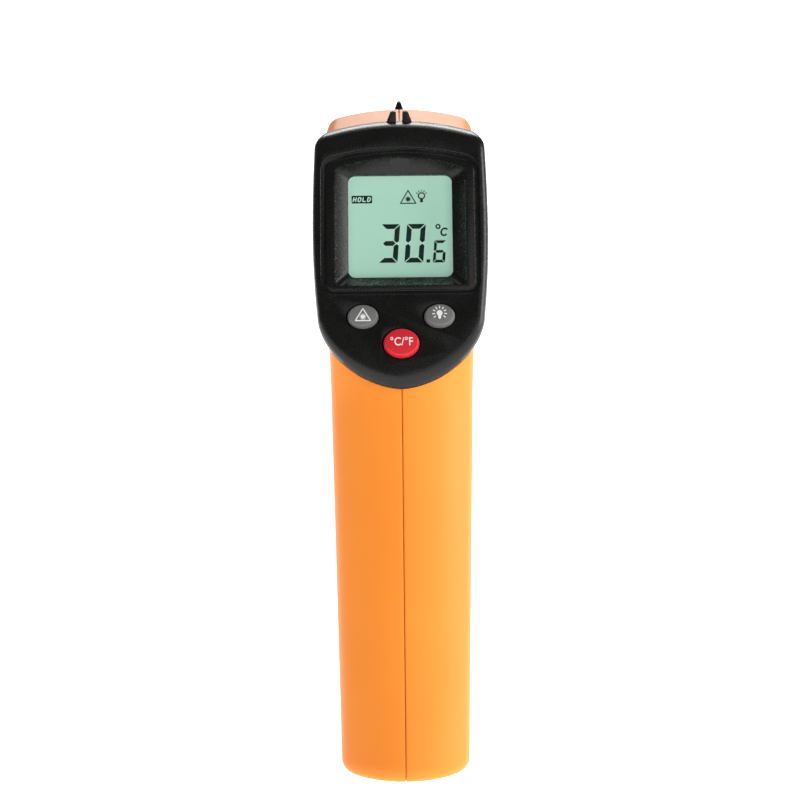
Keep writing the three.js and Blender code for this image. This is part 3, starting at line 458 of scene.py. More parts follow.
body = {
    "sections": [  # outer point, inner point (y, z), half width, shape (0 barrel, 1 grip)
        ((38, 150.1), (38, 107.8), 19.3, 0),
        ((27, 150.1), (28, 107.2), 19.3, 0),
        ((15, 150.1), (18.5, 106), 19.3, 0.05),
        ((3, 150.1), (11, 103), 19.3, 0.15),
        ((-8, 149.5), (6.8, 99), 19.1, 0.25),
        ((-18, 142), (4.2, 94.5), 18.7, 0.4),
        ((-26, 126), (2.4, 90), 18.1, 0.6),
        ((-30.5, 109), (0.8, 85.5), 17.4, 0.8),
        ((-32.8, 94), (-0.9, 80), 16.95, 1),
        ((-35, 80), (-2.9, 72), 16.75, 1),
        ((-38.8, 60), (-7.3, 54), 16.35, 1),
        ((-42.7, 40), (-11.7, 36), 15.95, 1),
        ((-46.9, 20), (-16.1, 18), 15.55, 1),
        ((-50.5, 3.2), (-19.8, 3.2), 15.25, 1.05),
    ],
    "barrel": {"outerCrown": 64, "outerCorner": 4.2, "side": 160, "innerCrown": 60, "innerCorner": 9},
    "grip": {"outerCrown": 20, "outerCorner": 7.5, "side": 110, "innerCrown": 24, "innerCorner": 7.5},
    "wall": 2,
    "seam": 0.09,  # from the middle plane to each half
    "seamRound": 0.22,  # rounding of the two edges at the seam
    "baseRound": (3.2, 3.2),  # rounding of the base, inwards and upwards
    "stationEvery": 1.3, "innerEvery": 3.0, "openAhead": 10,
    "seamRows": 6,  # rows of the base that the seam bands run into
}
outlineSteps = (16, 12, 10)
innerSteps = (8, 8, 5)


def between(a, b, t):
    return a + (b - a) * t


# Sections on a smooth curve through the given ones, spaced by their real distance apart.
def smoothSections(sections, spacing):
    rows = [[*outer, *inner, half, shape] for outer, inner, half, shape in sections]
    reaches = [max(math.dist(a[:2], b[:2]), math.dist(a[2:4], b[2:4])) for a, b in zip(rows, rows[1:])]
    knots = [0.0]
    for reach in reaches:
        knots.append(knots[-1] + reach ** 0.5)

    def slope(i, k):
        if i == 0:
            return (rows[1][k] - rows[0][k]) / (knots[1] - knots[0])
        if i == len(rows) - 1:
            return (rows[-1][k] - rows[-2][k]) / (knots[-1] - knots[-2])
        before = (rows[i][k] - rows[i - 1][k]) / (knots[i] - knots[i - 1])
        after = (rows[i + 1][k] - rows[i][k]) / (knots[i + 1] - knots[i])
        weight = (knots[i + 1] - knots[i]) / (knots[i + 1] - knots[i - 1])
        return before * weight + after * (1 - weight)

    made = []
    for i, reach in enumerate(reaches):
        span = knots[i + 1] - knots[i]
        count = max(1, round(reach / spacing))
        for step in range(count):
            t = step / count
            row = []
            for k in range(6):
                p, q = rows[i][k], rows[i + 1][k]
                m, n = slope(i, k) * span, slope(i + 1, k) * span
                row.append((2 * t ** 3 - 3 * t ** 2 + 1) * p + (t ** 3 - 2 * t ** 2 + t) * m
                           + (3 * t ** 2 - 2 * t ** 3) * q + (t ** 3 - t ** 2) * n)
            made.append(row)
    made.append(rows[-1])
    return made


# Right half of a section's outline in its own plane, from the top of the middle line to its bottom.
def sectionHalf(row, inset, steps):
    outer, inner, half, shape = Vector(row[0:2]), Vector(row[2:4]), row[4], row[5]
    mix = {key: between(body["barrel"][key], body["grip"][key], shape) - inset for key in body["barrel"]}
    reach = (outer - inner).length / 2
    above, below = [crownedQuarter(half - inset, reach - inset, mix[end + "Crown"], mix[end + "Corner"],
                                   mix["side"], steps) for end in ("outer", "inner")]
    return above + [(x, -y) for x, y in reversed(below)][1:]


def inSpace(row, points, side=1):
    outer, inner = Vector(row[0:2]), Vector(row[2:4])
    up = (outer - inner).normalized()
    centre = (outer + inner) / 2
    return [(x * side, centre.x + up.x * y, centre.y + up.y * y) for x, y in points]


# The same outline closed along the seam plane, its two seam edges rounded.
def seamedHalf(points, seam, radius):
    top, bottom = points[0][1], points[-1][1]
    kept = [p for p in points if p[0] > seam + radius * 1.3]
    rounding = [(radius * (1 - math.cos(a)), radius * (1 - math.sin(a))) for a in quarterTurn(4)]
    start = [(seam + across, top - down) for across, down in rounding]
    end = [(seam + across, bottom + down) for across, down in reversed(rounding)]
    return start + kept + end


def baseRows():
    inwards, upwards = body["baseRound"]
    (outerY, _), (innerY, _), half, shape = body["sections"][-1]
    rows = []
    for a in quarterTurn(8)[1:]:
        height = upwards * (1 - math.sin(a))
        rows.append(([outerY, height, innerY, height, half, shape], inwards * (1 - math.cos(a))))
    return rows


def skinRings(makeOutline):
    rows = [(row, 0) for row in smoothSections(body["sections"], body["stationEvery"])] + baseRows()
    return [inSpace(row, makeOutline(row, drawn)) for row, drawn in rows]


def halfSkin(name, side):
    def outline(row, drawn):
        points = seamedHalf(sectionHalf(row, drawn, outlineSteps), body["seam"], body["seamRound"])
        return [(x * side, y) for x, y in points]
    return loft(name, skinRings(outline))


def wholeSkin(name):
    return loft(name, skinRings(lambda row, drawn: mirrored(sectionHalf(row, drawn, outlineSteps))))


def hollow(name):
    rows = smoothSections(body["sections"], body["innerEvery"])
    rings = [inSpace(row, mirrored(sectionHalf(row, body["wall"], innerSteps))) for row in rows]
    ahead = [(x, y + body["openAhead"], z) for x, y, z in rings[0]]
    return loft(name, [ahead] + rings)


# A band across the seam inside the wall, which keeps light out of the joint.
def seamBand(name, x0, x1, shallow, deep, front):
    rings = []
    rows = [(row, 0) for row in smoothSections(body["sections"], body["innerEvery"])]
    rows += baseRows()[:body["seamRows"]]
    for row, drawn in rows:
        reach = math.dist(row[0:2], row[2:4]) / 2 - drawn
        a, b = (shallow - reach, deep - reach) if front else (reach - shallow, reach - deep)
        rings.append(inSpace(row, [(x0, a), (x1, a), (x1, b), (x0, b)]))
    return loft(name, rings)


# Rear bezel.

bezel = {
    "half": 20.75, "upperSideR": 400, "lowerSideR": 205, "crownR": 58, "cornerR": 4.2,
    "chinStart": -21.5, "chinPower": 1.72,
    "rim": [  # depth, inset of the sides, height of the crown, depth of the chin
        (0, 1.9, 23.9, -34.8),
        (-0.12, 1.3, 24.5, -35.8),
        (-0.45, 0.75, 25.05, -36.8),
        (-1.1, 0.28, 25.6, -37.8),
        (-2.4, 0, 26.4, -38.6),
        (-5, 0.1, 27.5, -38.0),
        (-7.2, 0.25, 28.5, -37.2),
        (-7.7, 0.6, 28.4, -36.8),
    ],
    "cavity": [(-2.4, 3.3, 23.1, -35.3), (-12, 3.3, 25.4, -34.0)],  # rows as in the rim
    "plug": (-17.2, -16.2, 17.2, 17.6, 2), "plugDepth": (-4.6, -2.3),
    # Rings of the recess: how far it is widened, height.
    "recess": {"half": 15.5, "bottom": -14.5, "top": 17.2, "drop": 2.7, "depth": 3, "corner": 1.2,
               "lip": 0.35, "foot": (-0.35, -0.62), "lipAt": (-0.05, 0.45), "mouth": (0.65, 1.2)},
    # Rings of the window's throat: height above the recess's floor, how far it is widened.
    "window": {"half": 12.3, "bottom": -11.6, "top": 13.8, "drop": 0.02, "corner": 1.7,
               "throat": [(-2, 0), (-0.12, 0), (-0.02, 0.05), (0.06, 0.16)]},
    "groove": {"half": 18.6, "bottom": -16.5, "top": 19.4, "drop": 2.7, "corner": 3, "width": 1.1,
               "wall": [(-0.4, -0.22), (-0.34, -0.1), (-0.22, -0.02), (-0.12, 0.02), (-0.04, 0.1),
                        (0.02, 0.22)],
               "islandFoot": (-1.4, -0.22), "cutterTop": (0.8, 0.3), "islandTop": (1.2, 0.3)},
    "recessPoints": 240, "groovePoints": 280,
    "keyHole": [(-6, 0.25), (-0.3, 0.25), (-0.12, 0.29), (-0.03, 0.38), (0.02, 0.5), (1, 0.9)],
    "keys": {"laser_key": (-8.9, -22, 3.6, 2.77), "backlight_key": (8.9, -22, 3.6, 2.77),
             "unit_key": (0, -28.45, 4.18, 3.42)},
    "sight": {"foot": (0.65, 4), "tip": (0.75, 2.05), "back": -7.2, "front": -4.4, "corner": 0.22,
              "square": 0.5,
              "levels": [(148, 0, 0), (152.5, 0.45, 0.9), (152.85, 0.5, 0.97), (153, 0.7, 1.0)]},
    "smoothUnder": 28,
}


def bezelOutline(inset, top, chin, grow=0.0):
    half = bezel["half"] - inset + grow
    radii = (bezel["crownR"], bezel["cornerR"], bezel["upperSideR"])
    upper = crownedQuarter(half, top + grow, *radii, (26, 14, 12))

    def sideAt(y):
        return half - y * y / (2 * bezel["lowerSideR"])

    start, power = bezel["chinStart"], bezel["chinPower"]
    side = [(sideAt(start * i / 8), start * i / 8) for i in range(1, 8)]
    reach = start - (chin - grow)
    chinSteps = 40
    lower = []
    for i in range(chinSteps + 1):
        drop = min(math.sin(math.pi / 2 * i / chinSteps) ** 1.1, 1.0)
        width = max(1 - drop ** power, 0.0) ** (1 / power)
        lower.append((sideAt(start) * width, start - reach * drop))
    return mirrored(upper + side + lower)


def bezelRings(rim, grow=0.0):
    return [lifted(bezelOutline(inset, top, chin, grow), z) for z, inset, top, chin in rim]


# Straight sides and bottom with round corners, and a top edge that rises to the middle.
def archedOutline(shape, corner, grow=0.0):
    x, low, high = shape["half"] + grow, shape["bottom"] - grow, shape["top"] - shape["drop"] + grow
    corner = max(corner + grow, 0.05)
    drop = shape["drop"]
    points = roundedRectangle(-x, low, x, high, corner, 8)
    return [(px, py + (drop * (1 - (px / x) ** 2) if py > 0 else 0)) for px, py in densify(points, 1.2)]


def densify(points, spacing):
    made = []
    for p, q in zip(points, points[1:] + points[:1]):
        count = max(1, math.ceil(math.dist(p, q) / spacing))
        made += [(between(p[0], q[0], i / count), between(p[1], q[1], i / count)) for i in range(count)]
    return made


def resampled(points, count):
    lengths = [0.0]
    closed = points + points[:1]
    for p, q in zip(closed, closed[1:]):
        lengths.append(lengths[-1] + math.dist(p, q))
    made, i = [], 0
    for k in range(count):
        target = lengths[-1] * k / count
        while lengths[i + 1] < target:
            i += 1
        t = (target - lengths[i]) / max(lengths[i + 1] - lengths[i], 1e-9)
        made.append((between(closed[i][0], closed[i + 1][0], t), between(closed[i][1], closed[i + 1][1], t)))
    return made


def recessCutter():
    recess, window = bezel["recess"], bezel["window"]

    def ring(shape, grow, z):
        return lifted(resampled(archedOutline(shape, shape["corner"], grow), bezel["recessPoints"]), z)

    rings = [ring(window, grow, z - recess["depth"]) for z, grow in window["throat"]]
    rings.append(ring(recess, *recess["foot"]))
    lip, (shift, lift) = recess["lip"], recess["lipAt"]
    for a in quarterTurn(4):
        rings.append(ring(recess, lip * (1 - math.cos(a)) + shift, lift - lip * (1 - math.sin(a))))
    rings.append(ring(recess, *recess["mouth"]))
    return loft("recessCutter", rings, faceMatrix)


def keyHoleCutter(x, y, a, b):
    levels = bezel["keyHole"]
    return cushionPlate("keyHole", lambda room: ellipse(x, y, a + room, b + room), levels, faceMatrix)


# A sight's post, narrower and shorter towards its tip.
# Levels are (height, how far its ends lean in, share of the way from foot to tip).
def sightPost(shape, side=1):
    rings = []
    for z, lean, rise in shape["levels"]:
        drawn = max(lean - shape["square"], 0)
        inner, outer = [between(foot, tip, rise) for foot, tip in zip(shape["foot"], shape["tip"])]
        corners = roundedRectangle(inner + drawn, shape["back"] + lean, outer - drawn, shape["front"] - lean,
                                   shape["corner"], 4)
        rings.append([(side * x, y, z) for x, y in corners])
    return loft("sightPost", rings)


def grooveCutter():
    groove = bezel["groove"]

    def outline(grow):
        return resampled(archedOutline(groove, groove["corner"], grow), bezel["groovePoints"])

    cutter = cushionPlate("groove", outline, groove["wall"] + [groove["cutterTop"]], faceMatrix)
    island = cushionPlate("island", lambda moved: outline(-moved - groove["width"]),
                          [groove["islandFoot"]] + groove["wall"] + [groove["islandTop"]], faceMatrix)
    return combine(cutter, [island])


def makeBezel():
    piece = loft("bezelShell", bezelRings(bezel["rim"]), faceMatrix)
    combine(piece, [sightPost(bezel["sight"], side) for side in (1, -1)], "UNION")
    cavity = loft("cavity", bezelRings(bezel["cavity"]), faceMatrix)
    combine(cavity, [plate("plug", roundedRectangle(*bezel["plug"]), *bezel["plugDepth"], faceMatrix)])
    holes = [keyHoleCutter(*spot) for spot in bezel["keys"].values()]
    combine(piece, [cavity, grooveCutter(), recessCutter(), *holes])
    smooth(piece, bezel["smoothUnder"])
    return place(piece, blackPlastic, "housing", "black_plastic", ["rear_bezel"])


makeBezel()
print("bezel made")


# Body halves and battery door.

shell = {
    "screws": [(20, 143), (8, 143), (29, 111.4), (-10.5, 74), (-36.5, 5.3)],
    "boss": (8.2, 25, 3.9), "well": (9, 26, 3),  # from, to, radius
    "throat": (6.1, -6, 79, 22, 104.2, 1.2),
    "label": (6, 118.5, 33.5, 135.5, 4, 18.6, 25),
    "seamGroove": (-1, 0.65, 0.85, 2.6), "seamLip": (-1, 0.55, 0.9, 2.1),  # across, then depth in the wall
    "pocketRim": [(-8, 0.3, 28.7, -37), (-5, 0.1, 27.5, -38), (-2.4, 0, 26.4, -38.6), (30, 0, 26.4, -38.6)],
    "pocketGap": 0.15, "above": ((-30, 15, -8), (30, 60, 30)),
    "room": [(15.4, 22), (15.4, -22), (13, -29), (9, -34), (-9, -34), (-13, -29), (-15.4, -22), (-15.4, 22)],
    "roomDepth": (-16.5, 0),
}
hinge = {"y": 10.5, "z": 4.5, "knuckle": 4.6}
door = {
    "half": 11.4, "back": 10.5, "top": 67.5, "gap": 0.3, "corner": 1.5, "beyond": 30,
    "ear": (8.6, 11.3, 2.2, 48), "pin": (11, 12.5, 1.2, 32),  # from, to, radius, sides
    "earFoot": (2.6, 13.4, 7.5),  # bottom, front, top
    "catch": ((-4, 11, 61), (4, 12.4, 67)), "catchRoot": ((-4, 11, 60), (4, 15.4, 62.4)),
    "grips": {"count": 5, "top": 60.5, "pitch": 2.6, "half": 7.0, "taper": 0.6, "radius": 1.1, "sink": 0.55,
              "front": 16.35, "frontFrom": 60, "lean": 0.012, "crown": 48, "stations": 24},
}


def pocketCutter():
    piece = loft("pocket", bezelRings(shell["pocketRim"], shell["pocketGap"]), faceMatrix)
    above = block("above", *shell["above"], faceMatrix)
    room = plate("room", shell["room"], *shell["roomDepth"], faceMatrix)
    return combine(piece, [above, room], "UNION")


def doorCutter(clearance):
    x, top, beyond = door["half"] + clearance, door["top"] + clearance, door["beyond"]
    outline = roundedRectangle(-x, -beyond, x, top, door["corner"], 8)
    depths = (door["back"] - clearance, beyond)
    front = loft("front", [[(px, y, pz) for px, pz in outline] for y in depths], gripMatrix)
    ends = [(end, hinge["y"], hinge["z"]) for end in (-x, x)]
    knuckle = rod("knuckle", *ends, hinge["knuckle"] + clearance, 72, gripMatrix)
    return combine(front, [knuckle], "UNION")


def sidePlate(name, outline, x0, x1):
    return loft(name, [[(x, y, z) for y, z in outline] for x in (x0, x1)])


def makeShell(side, node):
    piece = halfSkin(node.replace("_shell", "Half"), side)
    combine(piece, [hollow("hollow")])
    if side > 0:
        combine(piece, [seamBand("seamGroove", *shell["seamGroove"], front) for front in (True, False)])
        bosses = screwRods("boss", *shell["boss"])
        combine(bosses, [wholeSkin("trim")], "INTERSECT")
        combine(piece, [bosses], "UNION")
    else:
        combine(piece, [seamBand("seamLip", *shell["seamLip"], front) for front in (True, False)], "UNION")
    half, y0, z0, y1, z1, corner = shell["throat"]
    outline = roundedRectangle(-half, z0, half, z1, corner, 8)
    throat = loft("throat", [[(x, y, z) for x, z in outline] for y in (y0, y1)])
    *corners, depth, reach = shell["label"]
    label = sidePlate("label", roundedRectangle(*corners), side * depth, side * reach)
    cutters = [throat, doorCutter(door["gap"]), pocketCutter(), label]
    if side > 0:
        cutters.append(screwRods("well", *shell["well"]))
    combine(piece, cutters)
    return place(smooth(piece), orangePlastic, "housing", "orange_plastic", [node])


def screwRods(name, x0, x1, radius):
    rods = [rod(name, (x0, y, z), (x1, y, z), radius) for y, z in shell["screws"]]
    return combine(rods[0], rods[1:], "UNION")


def makeDoor():
    piece = wholeSkin("batteryDoor")
    combine(piece, [doorCutter(0)], "INTERSECT")
    combine(piece, [hollow("doorHollow")])
    combine(piece, [fingerGroove(i) for i in range(door["grips"]["count"])])
    fittings = []
    for side in (1, -1):
        for name in ("ear", "pin"):
            x0, x1, radius, sides = door[name]
            ends = [(side * x, hinge["y"], hinge["z"]) for x in (x0, x1)]
            fittings.append(rod(name, *ends, radius, sides, gripMatrix))
        low, high = sorted(side * x for x in door["ear"][:2])
        bottom, front, top = door["earFoot"]
        fittings.append(block("earFoot", (low, hinge["y"], bottom), (high, front, top), gripMatrix))
    fittings += [block(name, *door[name], gripMatrix) for name in ("catch", "catchRoot")]
    combine(piece, fittings, "UNION")
    combine(piece, [wholeSkin("doorTrim")], "INTERSECT")
    return place(smooth(piece), orangePlastic, "battery_door", "orange_plastic", ["battery_door"])


# A shallow crosswise groove that follows the front's crown.
def fingerGroove(index):
    grips = door["grips"]
    height = grips["top"] - index * grips["pitch"]
    half = grips["half"] - abs(index - grips["count"] // 2) * grips["taper"]
    radius, stations = grips["radius"], grips["stations"]
    rings = []
    for i in range(stations + 1):
        x = between(-half, half, i / stations)
        front = grips["front"] - (grips["frontFrom"] - height) * grips["lean"] - x * x / grips["crown"]
        centre = front + radius - grips["sink"] * (1 - (x / half) ** 6)
        rings.append([(x, centre + radius * c, height + radius * s) for c, s in circle(20)])
    return loft("groove", rings, gripMatrix)


makeShell(-1, "left_shell")
makeShell(1, "right_shell")
makeDoor()
print("body made")


# Nose.

nose = {
    "half": 18.8, "front": 50.5,
    "skin": [(0.35, 38.3), (0.15, 38.45), (0.12, 38.7), (0.35, 42), (0.6, 45)],  # inset, y
    "rounding": (0.35, 2.3),  # inset gained on the way to the front, and at its edge
    "spigot": (2.3, (34, 39)), "core": (3.8, (33, 45)),  # inset, ends
    "mouth": 52,
    "bores": {  # height, boss, stepped bore, lip (radius, y, size, steps), sides
        "lens": (122.5, [(9.6, 41.4), (9.6, 47)],
                 [(8.3, 40), (8.3, 43.4), (6, 43.4), (6, 44.6), (6.35, 44.65), (6.35, 45.6), (7.0, 45.7),
                  (7.0, 46.8), (7.6, 46.9)], (9.0, 49.6, 0.9, 6), 96),
        "laser": (139, [(4.6, 42), (4.6, 47)], [(3.35, 40), (3.35, 45.2), (2, 45.2), (2, 47.5)],
                  (3.2, 49.9, 0.6, 5), 64),
    },
    "lens": (6.7, 42.2, 43.1, 0.5),  # radius, back, edge, dome
    "sight": {"foot": (-1.7, 1.7), "tip": (-0.4, 0.4), "back": 42.5, "front": 49, "corner": 0.3, "square": 2,
              "levels": [(148, 0, 0), (151, 1.2, 0.85), (151.4, 1.4, 0.95), (151.6, 1.7, 1.08)]},
}


def makeNose():
    row = [*body["sections"][0][0], *body["sections"][0][1], nose["half"], 0]

    def ring(inset, y):
        points = mirrored(sectionHalf(row, inset, outlineSteps))
        return [(x, y, z) for x, _, z in inSpace(row, points)]

    levels = list(nose["skin"])
    inset, start = levels[-1]
    gained, edge = nose["rounding"]
    for a in quarterTurn(12)[1:]:
        drawn = inset + gained * math.sin(a) + edge * (1 - math.cos(a))
        levels.append((drawn, start + (nose["front"] - start) * math.sin(a)))
    piece = loft("noseCap", [ring(drawn, y) for drawn, y in levels])
    (outside, outsideEnds), (inside, insideEnds) = nose["spigot"], nose["core"]
    spigot = loft("spigot", [ring(outside, y) for y in outsideEnds])
    core = loft("core", [ring(inside, y) for y in insideEnds])
    combine(piece, [spigot], "UNION")
    combine(piece, [core])
    bosses, cones = [], []
    for height, boss, bore, (radius, y, size, steps), sides in nose["bores"].values():
        at = Matrix.Translation((0, 0, height))
        lip = [(radius - size * math.cos(a), y + size * math.sin(a)) for a in quarterTurn(steps)]
        bosses.append(turned("boss", boss, at, sides))
        cones.append(turned("cone", bore + lip + [(radius, nose["mouth"])], at, sides))
    combine(piece, bosses + [sightPost(nose["sight"])], "UNION")
    combine(piece, cones)
    smooth(piece, bezel["smoothUnder"])
    return place(piece, blackPlastic, "housing", "black_plastic", ["nose_cap"])


def makeLens():
    radius, back, edge, rise = nose["lens"]
    dome = [(radius * math.sin(a), edge + rise * math.cos(a)) for a in reversed(quarterTurn(12))]
    height, *_, sides = nose["bores"]["lens"]
    piece = turned("lensDome", [(0, back), (radius, back)] + dome, Matrix.Translation((0, 0, height)), sides)
    return place(smooth(piece), milkyLens, "housing", "infrared_lens", ["ir_lens"])


makeNose()
makeLens()
print("nose made")


# Keys.

keyShape = {
    "side": [(-4.2, -0.8), (-2.9, -0.8), (-2.9, 0), (0.3, 0.02), (0.9, 0.12), (1.35, 0.24)],
    "shoulder": (0.24, 0.36, 1.35, 0.4),  # inset and its growth, height and its growth
    "top": (0.6, 1.75, 0.2),  # inset of the plateau, its height and its dome
    "stem": (-11, -4, 1.9),  # from, to, radius
    "sides": 72, "steps": 8,
}


def makeKey(node, finish, slotName):
    x0, y0, a, b = bezel["keys"][node]
    inset, grow, height, rise = keyShape["shoulder"]
    sides, steps = keyShape["sides"], keyShape["steps"]
    levels = list(keyShape["side"])
    for t in quarterTurn(steps)[1:]:
        levels.append((height + rise * math.sin(t), inset + grow * (1 - math.cos(t))))
    rings = [lifted(ellipse(x0, y0, a - drawn, b - drawn, sides), z) for z, drawn in levels]
    inset, height, dome = keyShape["top"]
    for i in range(1, steps + 1):
        scale = max(1 - i / steps, 0.01)
        outline = ellipse(x0, y0, (a - inset) * scale, (b - inset) * scale, sides)
        rings.append(lifted(outline, height + dome * (1 - scale * scale)))
    piece = loft(node.replace("_key", "Key"), rings, faceMatrix)
    low, high, radius = keyShape["stem"]
    combine(piece, [rod("stem", (x0, y0, low), (x0, y0, high), radius, 40, faceMatrix)], "UNION")
    return place(smooth(piece), finish, node, slotName, [node])


# Flat artwork given as polygons in face axes, laid on a surface and given a little thickness.
def artwork(name, polygons, heightAt, thickness, matrix=faceMatrix):
    verts, faces = [], []
    for polygon in polygons:
        start = len(verts)
        count = len(polygon)
        verts += [(x, y, heightAt(x, y) + thickness) for x, y in polygon]
        verts += [(x, y, heightAt(x, y) - 0.05) for x, y in polygon]
        faces.append(tuple(range(start, start + count)))
        faces.append(tuple(reversed(range(start + count, start + 2 * count))))
        for i in range(count):
            j = (i + 1) % count
            faces.append((start + i, start + count + i, start + count + j, start + j))
    return meshObject(name, verts, faces, matrix)


# A stroke of even width from p to q, in short lengths so that it can follow a curved surface.
def stroke(p, q, width):
    p, q = Vector(p), Vector(q)
    across = (q - p).normalized().orthogonal() * width / 2
    count = max(1, math.ceil((q - p).length / 0.45))
    pieces = []
    for i in range(count):
        a, b = p.lerp(q, i / count), p.lerp(q, (i + 1) / count)
        pieces.append([tuple(a - across), tuple(b - across), tuple(b + across), tuple(a + across)])
    return pieces


def chain(points, width, closed=False):
    following = points[1:] + (points[:1] if closed else [])
    marks = [ellipse(x, y, width / 2, width / 2, 10) for x, y in points]
    for p, q in zip(points, following):
        marks += stroke(p, q, width)
    return marks


def triangle(cx, cy, half, tall, width):
    corners = [(cx, cy + tall * 0.58), (cx - half, cy - tall * 0.42), (cx + half, cy - tall * 0.42)]
    return chain(corners, width, True)


# A spot with short rays all round it, inside a triangle.
def beamSign(cx, cy, half, tall, width, count, rayWidth):
    marks = triangle(cx, cy + 0.3, half, tall, width) + [ellipse(cx, cy, 0.5, 0.5, 24)]
    return marks + rays(cx, cy, 0.55, 0.78, count, 0, 360 - 360 / count, rayWidth)


def rays(cx, cy, inner, outer, count, start, end, width):
    made = []
    for i in range(count):
        a = math.radians(between(start, end, i / (count - 1)))
        tip = (cx + outer * math.cos(a), cy + outer * math.sin(a))
        foot = (cx + inner * math.cos(a), cy + inner * math.sin(a))
        made += stroke(foot, tip, width)
    return made


# A lamp bulb: solid with a neck for the key, outlined with a screw cap for the display.
def lamp(cx, cy, size, rayCount, width, filled):
    if filled:
        neck = [(-0.5, -0.8), (-0.42, -1.75), (-0.28, -2.0), (0.28, -2.0), (0.42, -1.75), (0.5, -0.8)]
        marks = [ellipse(cx, cy, size, size * 1.05, 28), [(cx + x * size, cy + y * size) for x, y in neck]]
        return marks + rays(cx, cy, size * 1.6, size * 2.55, rayCount, -38, 218, width)
    marks = chain(ellipse(cx, cy, size, size, 28), width, True)
    for level in (1.35, 1.65, 1.95):
        marks += stroke((cx - size * 0.45, cy - size * level), (cx + size * 0.45, cy - size * level), width)
    return marks + rays(cx, cy, size * 1.45, size * 1.95, rayCount, 32, 148, width * 0.75)


def textPolygons(words, size, x, y, shear=0.0, weight=0.0, spread=1.0):
    curve = bpy.data.curves.new("words", "FONT")
    curve.body = words
    curve.size = size
    curve.shear = shear
    curve.offset = weight
    curve.align_x, curve.align_y = "CENTER", "CENTER"
    curve.resolution_u = 5
    writing = bpy.data.objects.new("words", curve)
    sceneRoot.objects.link(writing)
    bpy.context.view_layer.update()
    mesh = bpy.data.meshes.new_from_object(writing.evaluated_get(bpy.context.evaluated_depsgraph_get()))
    polygons = [[(mesh.vertices[i].co.x * spread + x, mesh.vertices[i].co.y + y) for i in face.vertices]
                for face in mesh.polygons]
    bpy.data.objects.remove(writing)
    return polygons


def domeOf(node):
    x0, y0, a, b = bezel["keys"][node]
    inset, height, dome = keyShape["top"]

    def heightAt(x, y):
        reach = ((x - x0) / (a - inset)) ** 2 + ((y - y0) / (b - inset)) ** 2
        return height + dome * (1 - min(reach, 1))
    return heightAt


keyMarks = {
    "beam": (-0.4, 1.75, 2.9, 0.25, 12, 0.11),  # height on the key, then as beamSign takes them
    "lamp": (0.3, 0.68, 9, 0.24),
    "unit": (-0.05, 0, 0.025, 0.88),
    "letterSize": 2.75, "thickness": 0.035,
}


def makeKeys():
    makeKey("laser_key", greySilicone, "grey_rubber")
    makeKey("backlight_key", greySilicone, "grey_rubber")
    makeKey("unit_key", redSilicone, "red_rubber")
    x, y = bezel["keys"]["laser_key"][:2]
    up, *sign = keyMarks["beam"]
    printMark("laserKeyMark", beamSign(x, y + up, *sign), "laser_key")
    x, y = bezel["keys"]["backlight_key"][:2]
    up, *bulb = keyMarks["lamp"]
    printMark("backlightKeyMark", lamp(x, y + up, *bulb, True), "backlight_key")
    x, y = bezel["keys"]["unit_key"][:2]
    up, *letters = keyMarks["unit"]
    printMark("unitKeyMark", textPolygons("°C/°F", keyMarks["letterSize"], x, y + up, *letters), "unit_key")


def printMark(name, polygons, node):
    piece = artwork(name, polygons, domeOf(node), keyMarks["thickness"])
    return place(piece, keyPrint, node, "white_plastic")


makeKeys()
print("keys made")


# Display.

# The artwork is given where it shows on the face plane; it lies deeper, so "drop" shifts it up the face.
display = {
    "glass": -4.9, "ink": 0.03, "halo": 0.015, "haloReach": 0.14, "wordLift": 0.05, "wordThickness": 0.02,
    "slant": math.tan(math.radians(4.5)), "drop": 1.17,
    "digits": [("3", -5.28, -8.71, 4.53, 9.5, 1.2), ("0", 0.87, -8.71, 4.45, 9.5, 1.2),
               ("6", 7.57, -8.75, 2.88, 5.45, 0.68)],
    "point": [(6.05, -8.75), (6.95, -8.75), (7.0, -7.93), (6.1, -7.93)],
    "degree": (8.92, 0.1, 0.46, 0.33),  # middle, radius, line
    "unit": (10.42, -1.22, 0.76, 0.86, 0.15, 0.4), "unitArc": (48, 318, 12),  # middle, radii, slant, line
    "beam": (1.92, 6.95, 1.82, 3.2, 0.26, 10, 0.1),
    "lamp": (5.1, 7.75, 0.74, 5, 0.3),
    "holdBox": (-11.48, 6.0, -6.63, 7.9, 0.2, 4), "holdWord": (-11.14, 6.47),
    "holdLetter": (0.6, 0.95, 1.13, 0.25, 0.2),  # width, height, pitch, line, slant
    "panel": (-13.5, -13.8, 13.5, 14.5, 0.4), "panelReach": (13.5, 14),
    "panelLevels": [(-7.1, 0.1), (-7.0, 0), (-5.0, 0), (-4.9, 0.1)],
    "pane": (-13.7, -13.2, 13.7, 14.7, 1.4), "paneDepth": (-4.5, -3.45),
}


def flatAt(depth):
    return lambda x, y: depth


